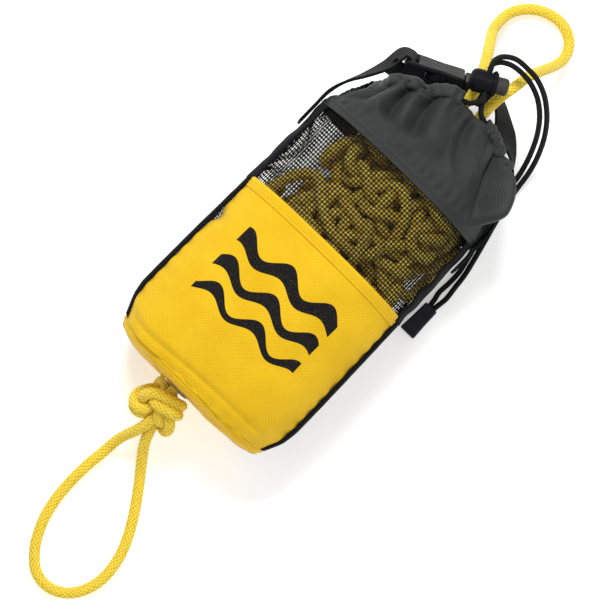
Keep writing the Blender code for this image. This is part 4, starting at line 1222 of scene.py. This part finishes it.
def add_casing(moved):
    """The gathered tunnel round the mouth, which follows the folds of the collar's edge."""
    low, high = CASING_GAP_DEG
    count, sides = 760, 28
    angles = np.linspace(high, low + 360.0, count)
    centre, up, side = casing_frames(angles)
    turns = np.linspace(0.0, 360.0, len(moved) + 1)
    closed = np.concatenate((moved, moved[:1]))
    centre = centre + read_line(angles % 360.0, turns, closed) * 0.8
    along = run_along(centre)
    turn = np.arange(sides) * 2 * math.pi / sides
    outer = casing_outline(centre, up, side, along, turn)
    uv = np.stack(np.broadcast_arrays(turn[None, :] * 3.3, along[:, None]), -1)
    casing = cloth_shell("casing_cloth", outer[:, ::-1], CASING_THICKNESS, MATS["grey"], "bag",
                         wrap=True, uv=uv[:, ::-1])
    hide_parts("drawcord_casing")
    stitch_row("casing_stitches", outer[:, int(sides * 0.86)], STITCH_PITCH)
    inside = (angles > high + 1.3) & (angles < low + 358.7)
    return centre[inside]


# ---------------------------------------------------------------- webbing

LEFT_STRAP = (  # X, Y, Z, then the lean of the width off upright in degrees
    (-58.1, 66.0, 37.0, 0.0),
    (-58.2, 78.0, 37.0, 0.0),
    (-58.1, 89.0, 36.6, 0.0),
    (-55.4, 99.0, 35.6, 4.0),
    (-50.6, 109.0, 34.2, 10.0),
    (-46.9, 118.0, 33.1, 16.0),
    (-45.2, 123.6, 32.8, 19.0),
)
LEFT_STRAP_ON_BUCKLE = (  # along the buckle, then out of its face
    (-24.8, 5.0),
    (-20.8, 5.9),
    (-17.6, 3.4),
    (-17.1, 0.0),
    (-17.6, -3.4),
    (-20.8, -5.8),
    (-25.0, -4.8),
    (-30.0, -3.2),
)
RIGHT_STRAP_ON_BUCKLE = (
    (31.0, -3.0),
    (26.0, -4.6),
    (22.3, -4.8),
    (20.0, -2.6),
    (19.9, 0.0),
    (20.0, 2.6),
    (22.3, 4.8),
    (25.5, 3.6),
)
RIGHT_STRAP = (
    (7.6, 151.6, 32.5, 20.0),
    (12.6, 150.4, 32.6, 22.0),
    (18.8, 146.4, 33.2, 28.0),
    (25.6, 141.2, 34.2, 36.0),
    (32.6, 136.8, 35.2, 26.0),
    (40.0, 131.2, 36.6, 10.0),
    (46.8, 123.0, 37.5, 0.0),
    (51.8, 112.5, 38.0, 0.0),
    (55.6, 101.0, 37.6, 0.0),
    (57.9, 89.0, 37.2, 0.0),
    (58.2, 78.0, 37.0, 0.0),
    (58.1, 66.0, 37.0, 0.0),
)
BUCKLE_CENTRE = np.array((-19.5, 139.6, 32.5))
BUCKLE_TURN = math.radians(25.8)
BUCKLE_TILT_DEG = 20.0
BUCKLE_TILT = math.radians(BUCKLE_TILT_DEG)


def on_buckle(places):
    """Strap points from places along the buckle and out of its face, with the strap's lean."""
    along = np.array((math.cos(BUCKLE_TURN), math.sin(BUCKLE_TURN), 0.0))
    level = np.array((-math.sin(BUCKLE_TURN), math.cos(BUCKLE_TURN), 0.0))
    out = level * math.cos(BUCKLE_TILT) + np.array((0.0, 0.0, math.sin(BUCKLE_TILT)))
    return [(*(BUCKLE_CENTRE + along * x + out * z), BUCKLE_TILT_DEG) for x, z in places]


def strap_frames(route, spacing=0.6):
    """Centres, width directions and outward directions of a strap."""
    points = smooth_route(route, spacing)
    centre = points[:, :3]
    ahead = unit(np.gradient(centre, axis=0))
    up = np.array((0.0, 0.0, 1.0)) - ahead * ahead[:, 2:3]
    up = unit(up)
    lean = np.radians(points[:, 3])[:, None]
    side = np.cross(ahead, up)
    width = up * np.cos(lean) + side * np.sin(lean)
    return centre, width, np.cross(ahead, width)


def strap_piece(name, route, body=None):
    """Flat webbing with a rounded woven edge."""
    centre, width, out = strap_frames(route)
    columns = 40
    turn = np.arange(columns * 2) / (columns * 2)
    across = power(np.cos(turn * 2 * math.pi), 0.55)
    lift = power(np.clip(np.sin(turn * 2 * math.pi) * 2.2, -1.0, 1.0), 0.7)
    along = run_along(centre)
    ripple = waves(along, along * 0, 71 + len(name), 12.0, 30.0, 6) * 0.12
    half = (STRAP_WIDTH / 2 + ripple)[:, None, None]
    rings = (centre[:, None] + width[:, None] * across[None, :, None] * half
             + out[:, None] * lift[None, :, None] * STRAP_THICKNESS / 2)
    uv = np.stack(np.broadcast_arrays(across[None, :] * STRAP_WIDTH / 2, along[:, None]), -1)
    rows = len(centre)
    count = rows * columns * 2
    faces = [list(f) for f in grid_faces(rows, columns * 2, wrap_columns=True)]
    faces.append(list(range(columns * 2))[::-1])
    faces.append(list(range(count - columns * 2, count)))
    piece = add_piece(name, rings.reshape(-1, 3), faces, MATS["tape"], body, uv.reshape(-1, 2))
    return piece, centre, width, out


def sewn_box(name, frames, start, end):
    """A sewn rectangle with a cross on the outer face of a strap."""
    centre, width, out = frames
    face = centre + out * (STRAP_THICKNESS / 2 + 0.02)
    inset = STRAP_WIDTH / 2 - 2.2
    count = len(centre)
    low, high = int(count * start), int(count * end)
    steps = np.linspace(0, 1, 40)
    rows = low + (high - low) * steps
    slope = inset * (1 - 2 * steps)
    runs = ((rows, inset), (rows, -inset), (low, slope), (high, slope), (rows, slope),
            (rows, -slope))
    for k, run in enumerate(runs):
        places, offsets = np.broadcast_arrays(*run, steps)[:2]
        places = np.clip(places, 0, count - 1)
        wide = read_line(places, np.arange(count), width)
        line = read_line(places, np.arange(count), face) + wide * offsets[:, None]
        stitch_row("%s_%d" % (name, k), line, BOX_STITCH_PITCH)


def add_straps():
    """The strap's two halves, the right one crossing the buckle's release joint."""
    route = list(LEFT_STRAP) + on_buckle(LEFT_STRAP_ON_BUCKLE)
    left, *frames = strap_piece("strap_left_webbing", route, "bag")
    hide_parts("strap_left")
    sewn_box("strap_left_box", frames, 0.06, 0.26)
    route = on_buckle(RIGHT_STRAP_ON_BUCKLE) + list(RIGHT_STRAP)
    right, *frames = strap_piece("strap_right_webbing", route)
    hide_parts("strap_right")
    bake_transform(right)
    sewn_box("strap_right_box", frames, 0.80, 0.94)


# ---------------------------------------------------------------- rope

MOUTH_LOOP = (
    (8.5, 118.5, 43.5),
    (10.0, 127.0, 48.0),
    (10.2, 138.0, 50.5),
    (10.5, 148.6, 51.6),
    (12.2, 159.5, 49.6),
    (13.9, 171.0, 41.0),
    (16.9, 180.0, 29.0),
    (19.9, 188.8, 16.0),
    (20.8, 196.7, 7.4),
    (18.2, 204.0, 4.0),
    (12.9, 208.6, 3.25),
    (5.0, 210.5, 3.25),
    (-4.0, 208.6, 3.25),
    (-11.8, 203.7, 3.25),
    (-17.3, 196.0, 4.4),
    (-18.8, 187.8, 9.0),
    (-17.8, 179.0, 18.0),
    (-14.4, 171.4, 29.5),
    (-10.4, 163.5, 41.0),
    (-6.0, 154.5, 49.8),
    (-2.4, 146.0, 52.2),
    (-0.6, 136.0, 51.2),
    (-1.5, 126.5, 47.5),
    (-0.5, 118.5, 43.5),
)
BASE_LOOP = (
    (-9.0, -110.8, 20.0),
    (-8.8, -116.0, 14.5),
    (-8.9, -124.0, 7.5),
    (-9.3, -134.0, 4.0),
    (-10.6, -146.0, 3.25),
    (-10.8, -160.0, 3.25),
    (-9.4, -174.0, 3.25),
    (-5.6, -187.0, 3.25),
    (1.0, -198.5, 3.25),
    (10.0, -206.5, 3.25),
    (20.5, -208.0, 3.25),
    (30.5, -203.0, 3.25),
    (37.0, -192.5, 3.25),
    (38.6, -180.0, 3.25),
    (35.8, -166.0, 3.25),
    (29.5, -152.5, 3.25),
    (21.5, -140.0, 3.7),
    (13.0, -128.6, 5.8),
    (5.2, -118.8, 11.5),
    (0.6, -110.8, 19.0),
)
FILL_STATIONS = np.array((  # distance along Y, centre X, half width, height
    (-62.0, 0.0, 46.0, 58.0),
    (-50.0, 0.0, 51.0, 63.0),
    (-34.0, 0.0, 54.0, 67.0),
    (18.0, 1.0, 53.0, 69.0),
    (40.0, 5.5, 50.0, 67.5),
    (78.0, 6.5, 47.5, 62.5),
    (93.0, 4.0, 34.0, 47.0),
))
FILL_MIDDLE_Z = 36.0
STOPPER_AT = np.array((-5.0, -55.5, 35.0))
MOUTH_KNOT_AT = np.array((4.0, 105.5, 41.0))
BASE_KNOT_AT = np.array((-5.4, -96.0, 26.8))


def inside_fill(points, margin):
    """Move points into the space that the stuffed rope may fill."""
    y = np.clip(points[:, 1], FILL_STATIONS[0, 0], FILL_STATIONS[-1, 0])
    centre, half, tall = (np.interp(y, FILL_STATIONS[:, 0], FILL_STATIONS[:, k])
                          for k in (1, 2, 3))
    dx = (points[:, 0] - centre) / (half - margin)
    dz = (points[:, 2] - FILL_MIDDLE_Z) / (tall / 2 - margin)
    size = (np.abs(dx) ** SECTION_POWER + np.abs(dz) ** SECTION_POWER) ** (1 / SECTION_POWER)
    shrink = 1 / np.maximum(size, 1.0)
    points[:, 0] = centre + dx * shrink * (half - margin)
    points[:, 2] = FILL_MIDDLE_Z + dz * shrink * (tall / 2 - margin)
    points[:, 1] = y
    gap = points - STOPPER_AT
    far = np.linalg.norm(gap, axis=1)
    push = np.clip(STOPPER_ROOM - far, 0, None) / np.maximum(far, 1e-6)
    points += gap * push[:, None]
    return points


def wander(length, step, seed):
    """A rope's first wandering line, loop after loop from the base up to the mouth."""
    rng = np.random.default_rng(seed)
    count = int(length / step) + 1
    place = np.array((12.0, -52.0, 30.0))
    heading = np.array((0.7, 0.1, 0.7))
    swirl = rng.normal(size=3)
    line = np.zeros((count, 3))
    noise = rng.normal(size=(count, 3))
    for k in range(count):
        done = k / count
        level = -56.0 + 142.0 * done + 9.0 * math.sin(k * 0.045)
        centre = np.interp(place[1], FILL_STATIONS[:, 0], FILL_STATIONS[:, 1])
        half = np.interp(place[1], FILL_STATIONS[:, 0], FILL_STATIONS[:, 2]) - 5.0
        tall = np.interp(place[1], FILL_STATIONS[:, 0], FILL_STATIONS[:, 3]) / 2 - 5.0
        dx, dz = (place[0] - centre) / half, (place[2] - FILL_MIDDLE_Z) / tall
        out = math.sqrt(dx * dx + dz * dz)
        swirl = swirl * 0.992 + noise[k] * 0.095
        turn = np.cross(heading, swirl) * 0.16
        pull = np.array((-dx, 0.0, -dz)) * 0.42 * max(out - 0.55, 0.0)
        pull[1] = np.clip((level - place[1]) / 20.0, -1, 1) * 0.22
        heading = heading + turn + pull
        heading /= np.linalg.norm(heading)
        place = place + heading * step
        line[k] = place
    return line


def pack_rope(length, seed):
    """The stuffed rope's line, relaxed until its turns lie beside each other."""
    points = inside_fill(wander(length, FILL_STEP, seed), ROPE_D / 2)
    count = len(points)
    strand = np.zeros(count)
    order = np.arange(count)
    keep = np.ones(count)
    first = np.arange(count - 1)
    links = np.stack((first, first + 1), 1)
    triples = np.stack((first[:-1], first[:-1] + 1, first[:-1] + 2), 1)
    lengths = np.full(count - 1, FILL_STEP)
    rounds = 420
    for k in range(rounds):
        if k % 10 == 0:
            pairs = near_pairs(points, strand, order, ROPE_D * 1.45, 3)
        separate(points, keep, ROPE_D, pairs, 0.8)
        keep_bend(points, keep, triples, FILL_BEND, 0.5)
        keep_spacing(points, keep, links, lengths, 0.9)
        keep_spacing(points, keep, links, lengths, 0.9)
        points = inside_fill(points, ROPE_D / 2)
    return points


def declare_rope(nodes):
    """Hide the CAD solids that a length of the rope stands for."""
    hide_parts(*nodes)


def add_rope_fill():
    """All of the stuffed rope, as one line."""
    points = pack_rope(ROPE_LENGTH, SEED)
    path = smooth_route(ease(points, np.zeros(len(points), bool), 3), 1.7)
    sides = 14
    points, uv, _ = tube_points(path, ROPE_D / 2, sides)
    faces = grid_faces(len(path), sides, wrap_columns=True)
    fill = add_piece("stuffed_rope", points.reshape(-1, 3), faces, MATS["rope_inside"], "bag",
                     uv.reshape(-1, 2), period=ROPE_D * math.pi)
    declare_rope(["rope_fill"])


def place_knot(strands, middle, axis, roll_deg, centre):
    """Move tightened strands so that the knot's axis and middle are as given."""
    y_axis = unit(np.asarray(axis, float))
    x_axis = unit(np.cross(y_axis, (0.0, 0.0, 1.0)))
    z_axis = np.cross(x_axis, y_axis)
    roll = math.radians(roll_deg)
    x2 = x_axis * math.cos(roll) + z_axis * math.sin(roll)
    z2 = -x_axis * math.sin(roll) + z_axis * math.cos(roll)
    turn = np.stack((x2, y_axis, z2))
    tight = np.array((KNOT_TIGHTNESS, 1.0, KNOT_TIGHTNESS))
    return [((s - middle) * tight) @ turn + centre for s in strands]


def ease(path, fixed, passes):
    """Smooth the joins of a line without moving its fixed part."""
    path = path.copy()
    for _ in range(passes):
        middle = (path[:-2] + path[2:]) / 2
        path[1:-1] += (middle - path[1:-1]) * 0.5 * (~fixed[1:-1])[:, None]
    return path


def joined(parts):
    """Join line parts end to end on even points, and round off the joins only."""
    line = np.concatenate(parts)
    run = run_along(line)
    smooth = even(line, 1.0)
    place = np.linspace(0.0, run[-1], len(smooth))
    fixed = np.ones(len(smooth), bool)
    for end in np.cumsum([len(part) for part in parts])[:-1]:
        fixed &= (place < run[end - 1] - JOIN_REACH) | (place > run[end] + JOIN_REACH)
    smooth = ease(smooth, fixed, JOIN_PASSES)
    return smooth_route(ease(smooth, np.zeros(len(smooth), bool), 2), 0.5)


def trim(strand, centre, reach_low, reach_high, axis):
    """The part of a strand whose place along the axis lies between two reaches."""
    place = (strand - centre) @ axis
    return strand[(place > -reach_low) & (place < reach_high)]


def led(strand, axis):
    """The strand, turned round where needed so that it runs along the axis."""
    return strand[::-1] if strand[0] @ axis > strand[-1] @ axis else strand


def nearer_first(strands, spot):
    """Both strands, with the one whose end is nearer to the spot first."""
    first, second = strands
    if np.linalg.norm(first[-1] - spot) > np.linalg.norm(second[-1] - spot):
        return second, first
    return first, second


def add_base_rope(strands, middle):
    """Stopper, rope through the grommet, the knot on the bight and its loop: one rope."""
    axis = unit(np.array((-5.0, -84.0, 34.5)) - np.array((-4.2, -116.0, 15.5)))
    tied = place_knot(strands, middle, axis, BASE_KNOT_ROLL, BASE_KNOT_AT)
    first = trim(tied[0], BASE_KNOT_AT, 19.0, 14.5, axis)
    second = trim(tied[1], BASE_KNOT_AT, 19.0, 13.0, axis)
    first, second = led(first, -axis), led(second, -axis)
    shank = np.array([(BASE_EXIT[0], y, BASE_EXIT[2]) for y in np.arange(-64.5, -83.0, -2.5)])
    loop = smooth_route(BASE_LOOP, 2.5)
    low = loop[(np.arange(len(loop)) > 5) & (np.arange(len(loop)) < len(loop) - 6)]
    path = joined([shank, first, low, second[::-1]])
    rope = rope_tube("base_rope", path)
    declare_rope(["rope_shank", "base_knot", "base_loop"])


def add_mouth_rope(strands, middle):
    """The knot in the mouth and the loop that comes out of it."""
    axis = unit(np.array((0.0, 1.0, 0.12)))
    tied = place_knot([s * MOUTH_KNOT_SIZE for s in strands], middle * MOUTH_KNOT_SIZE, axis, 20.0,
                      MOUTH_KNOT_AT)
    first = trim(tied[0], MOUTH_KNOT_AT, 12.0, 10.0, axis)
    second = trim(tied[1], MOUTH_KNOT_AT, 12.0, 10.0, axis)
    loop = smooth_route(MOUTH_LOOP, 2.5)[1:-1]
    first, second = nearer_first((led(first, axis), led(second, axis)), loop[0])
    path = joined([first, loop, second[::-1]])
    rope = rope_tube("mouth_rope", path)
    declare_rope(["mouth_loop", "mouth_knot"])


def add_stopper(strands, middle):
    """The stopper knot inside the base."""
    axis = np.array((0.0, 1.0, 0.0))
    tied = place_knot([s * STOPPER_SIZE for s in strands], middle * STOPPER_SIZE, axis, 0.0,
                      STOPPER_AT)
    path = smooth_route(trim(tied[0], STOPPER_AT, 8.0, 9.0, axis), 0.6)
    knot = tube_piece("stopper_knot_rope", path, ROPE_D / 2, 24, MATS["rope"], "bag",
                      carriers=ROPE_CARRIERS, pick=2.3, depth=0.5)
    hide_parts("stopper_knot")


# ---------------------------------------------------------------- drawcord

CORD_AFTER_LOCK_OUTER = (
    (-5.3, 160.0, 67.0),
    (-3.3, 165.0, 67.0),
    (2.6, 168.9, 66.0),
    (10.5, 169.9, 64.0),
    (18.5, 169.9, 59.5),
    (27.5, 167.3, 51.5),
    (36.0, 162.3, 39.5),
    (42.8, 155.5, 26.5),
    (47.8, 147.0, 14.5),
    (50.8, 138.0, 6.0),
    (52.3, 128.0, 2.2),
    (53.9, 118.0, 1.7),
    (56.6, 106.5, 1.7),
    (59.6, 95.0, 1.7),
    (62.6, 83.0, 1.7),
    (64.8, 73.0, 1.7),
    (65.8, 64.0, 1.8),
    (66.6, 57.0, 2.3),
    (66.1, 52.0, 2.7),
    (65.6, 47.5, 2.9),
    (65.6, 43.5, 2.9),
)
CORD_AFTER_LOCK_INNER = (
    (-4.3, 158.2, 63.1),
    (-1.4, 162.0, 62.9),
    (3.8, 164.4, 62.6),
    (10.6, 165.4, 61.0),
    (18.2, 164.9, 56.8),
    (26.0, 162.6, 48.8),
    (33.2, 158.2, 37.0),
    (39.2, 151.8, 24.5),
    (43.8, 144.2, 12.8),
    (46.8, 136.0, 5.0),
    (48.5, 127.0, 1.9),
    (50.3, 117.3, 1.7),
    (53.0, 105.5, 1.7),
    (56.0, 94.0, 1.7),
    (59.0, 82.0, 1.7),
    (61.0, 72.5, 1.7),
    (61.2, 64.0, 1.8),
    (60.6, 57.0, 2.3),
    (61.7, 52.0, 2.7),
    (62.4, 47.8, 2.9),
    (62.4, 43.5, 2.9),
)
LOCK_CENTRE = np.array((0.0, 149.0, 65.0))
LOCK_AXIS_DEG = 30.0
CORD_PAIR = 3.5
SPRING_ENDS = (-7.8, -3.9)
SPRING_TURNS = 4
SPRING_RADIUS = 3.3
SPRING_WIRE = 0.55


def lock_axes():
    """The lock's press axis, the cords' direction through it, and up."""
    angle = math.radians(LOCK_AXIS_DEG)
    press = np.array((math.cos(angle), math.sin(angle), 0.0))
    through = np.array((-math.sin(angle), math.cos(angle), 0.0))
    return press, through, np.array((0.0, 0.0, 1.0))


def cord_tube(name, path, body=None):
    """The drawcord, with its fine braid modelled."""
    return tube_piece(name, path, CORD_D / 2, 32, MATS["cord"], body,
                      carriers=CORD_CARRIERS, pick=CORD_PICK, depth=CORD_BRAID_DEPTH)


def add_drawcord(cord_centre):
    """The drawcord in its casing, and its two ends through the lock to the cord end."""
    low, high = CASING_GAP_DEG
    inside = smooth_route(cord_centre[::10], 0.5)
    piece = cord_tube("drawcord_casing_run", inside, "bag")
    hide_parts("drawcord_in_casing")
    _, through, up = lock_axes()
    left = casing_frames(np.array((high - 0.8,)))[0][0]
    right = casing_frames(np.array((low + 0.8,)))[0][0]
    starts = ([left, (1.2, 135.0, 63.0), (4.2, 139.4, 66.2)],
              [right, (9.6, 135.0, 60.9), (6.2, 138.9, 62.3)])
    outer = np.array(CORD_AFTER_LOCK_OUTER)
    beside = 0.88 - 0.10 * smooth_step(5.0, 40.0, outer[:, 2:])
    inner = outer + (np.array(CORD_AFTER_LOCK_INNER) - outer) * beside
    for name, start, height, route in (
            ("outer", starts[0], CORD_PAIR / 2, outer),
            ("inner", starts[1], -CORD_PAIR / 2, inner)):
        passage = [LOCK_CENTRE + up * height + through * s for s in (-6.5, -3.0, 3.0, 6.5)]
        path = smooth_route(np.array([*start, *passage, *route], float), 0.45)
        cord = cord_tube("drawcord_%s_end" % name, path)
        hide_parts("drawcord_" + name)
        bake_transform(cord)


def add_lock_spring():
    """The cord lock's return spring, a fixed coil; the real one shortens as the button goes in."""
    press, through, up = lock_axes()
    low, high = SPRING_ENDS
    t = np.linspace(0.0, 1.0, 360)[:, None]
    turn = 2 * math.pi * SPRING_TURNS * t
    coil = LOCK_CENTRE + press * (low + (high - low) * t)
    coil = coil + (through * np.cos(turn) + up * np.sin(turn)) * SPRING_RADIUS
    spring = tube_piece("lock_spring_wire", coil, SPRING_WIRE / 2, 10, MATS["metal"], None)
    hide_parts("lock_spring")
    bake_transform(spring)


# ---------------------------------------------------------------- hard parts kept from the CAD

NODE_FINISH = {
    "buckle_socket": "hard",
    "buckle_plug": "hard",
    "buckle_prong_upper": "hard",
    "buckle_prong_lower": "hard",
    "lock_barrel": "hard",
    "lock_plunger": "button",
    "cord_end_base": "cord_end",
    "cord_end_cover": "cord_end",
    "grommet": "metal",
    "grommet_washer": "metal",
    "foam_disc": "foam",
}


def finish_nodes():
    """Give the CAD parts that stay their final materials."""
    for node, key in NODE_FINISH.items():
        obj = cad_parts[node]
        obj.data.materials.clear()
        obj.data.materials.append(MATS[key])


def main():
    add_camera()
    add_floor()
    add_lights()
    strands = tie_knot(figure_eight(240), True, KNOT_PASSES)
    middle = knot_middle(strands)
    add_base_rope(strands, middle)
    add_mouth_rope(strands, middle)
    add_stopper(strands, middle)
    add_rope_fill()
    add_front_panel()
    add_meshes()
    add_side_tapes()
    add_base()
    moved = add_collar()
    cord_centre = add_casing(moved)
    add_drawcord(cord_centre)
    add_straps()
    add_lock_spring()
    finish_nodes()


main()
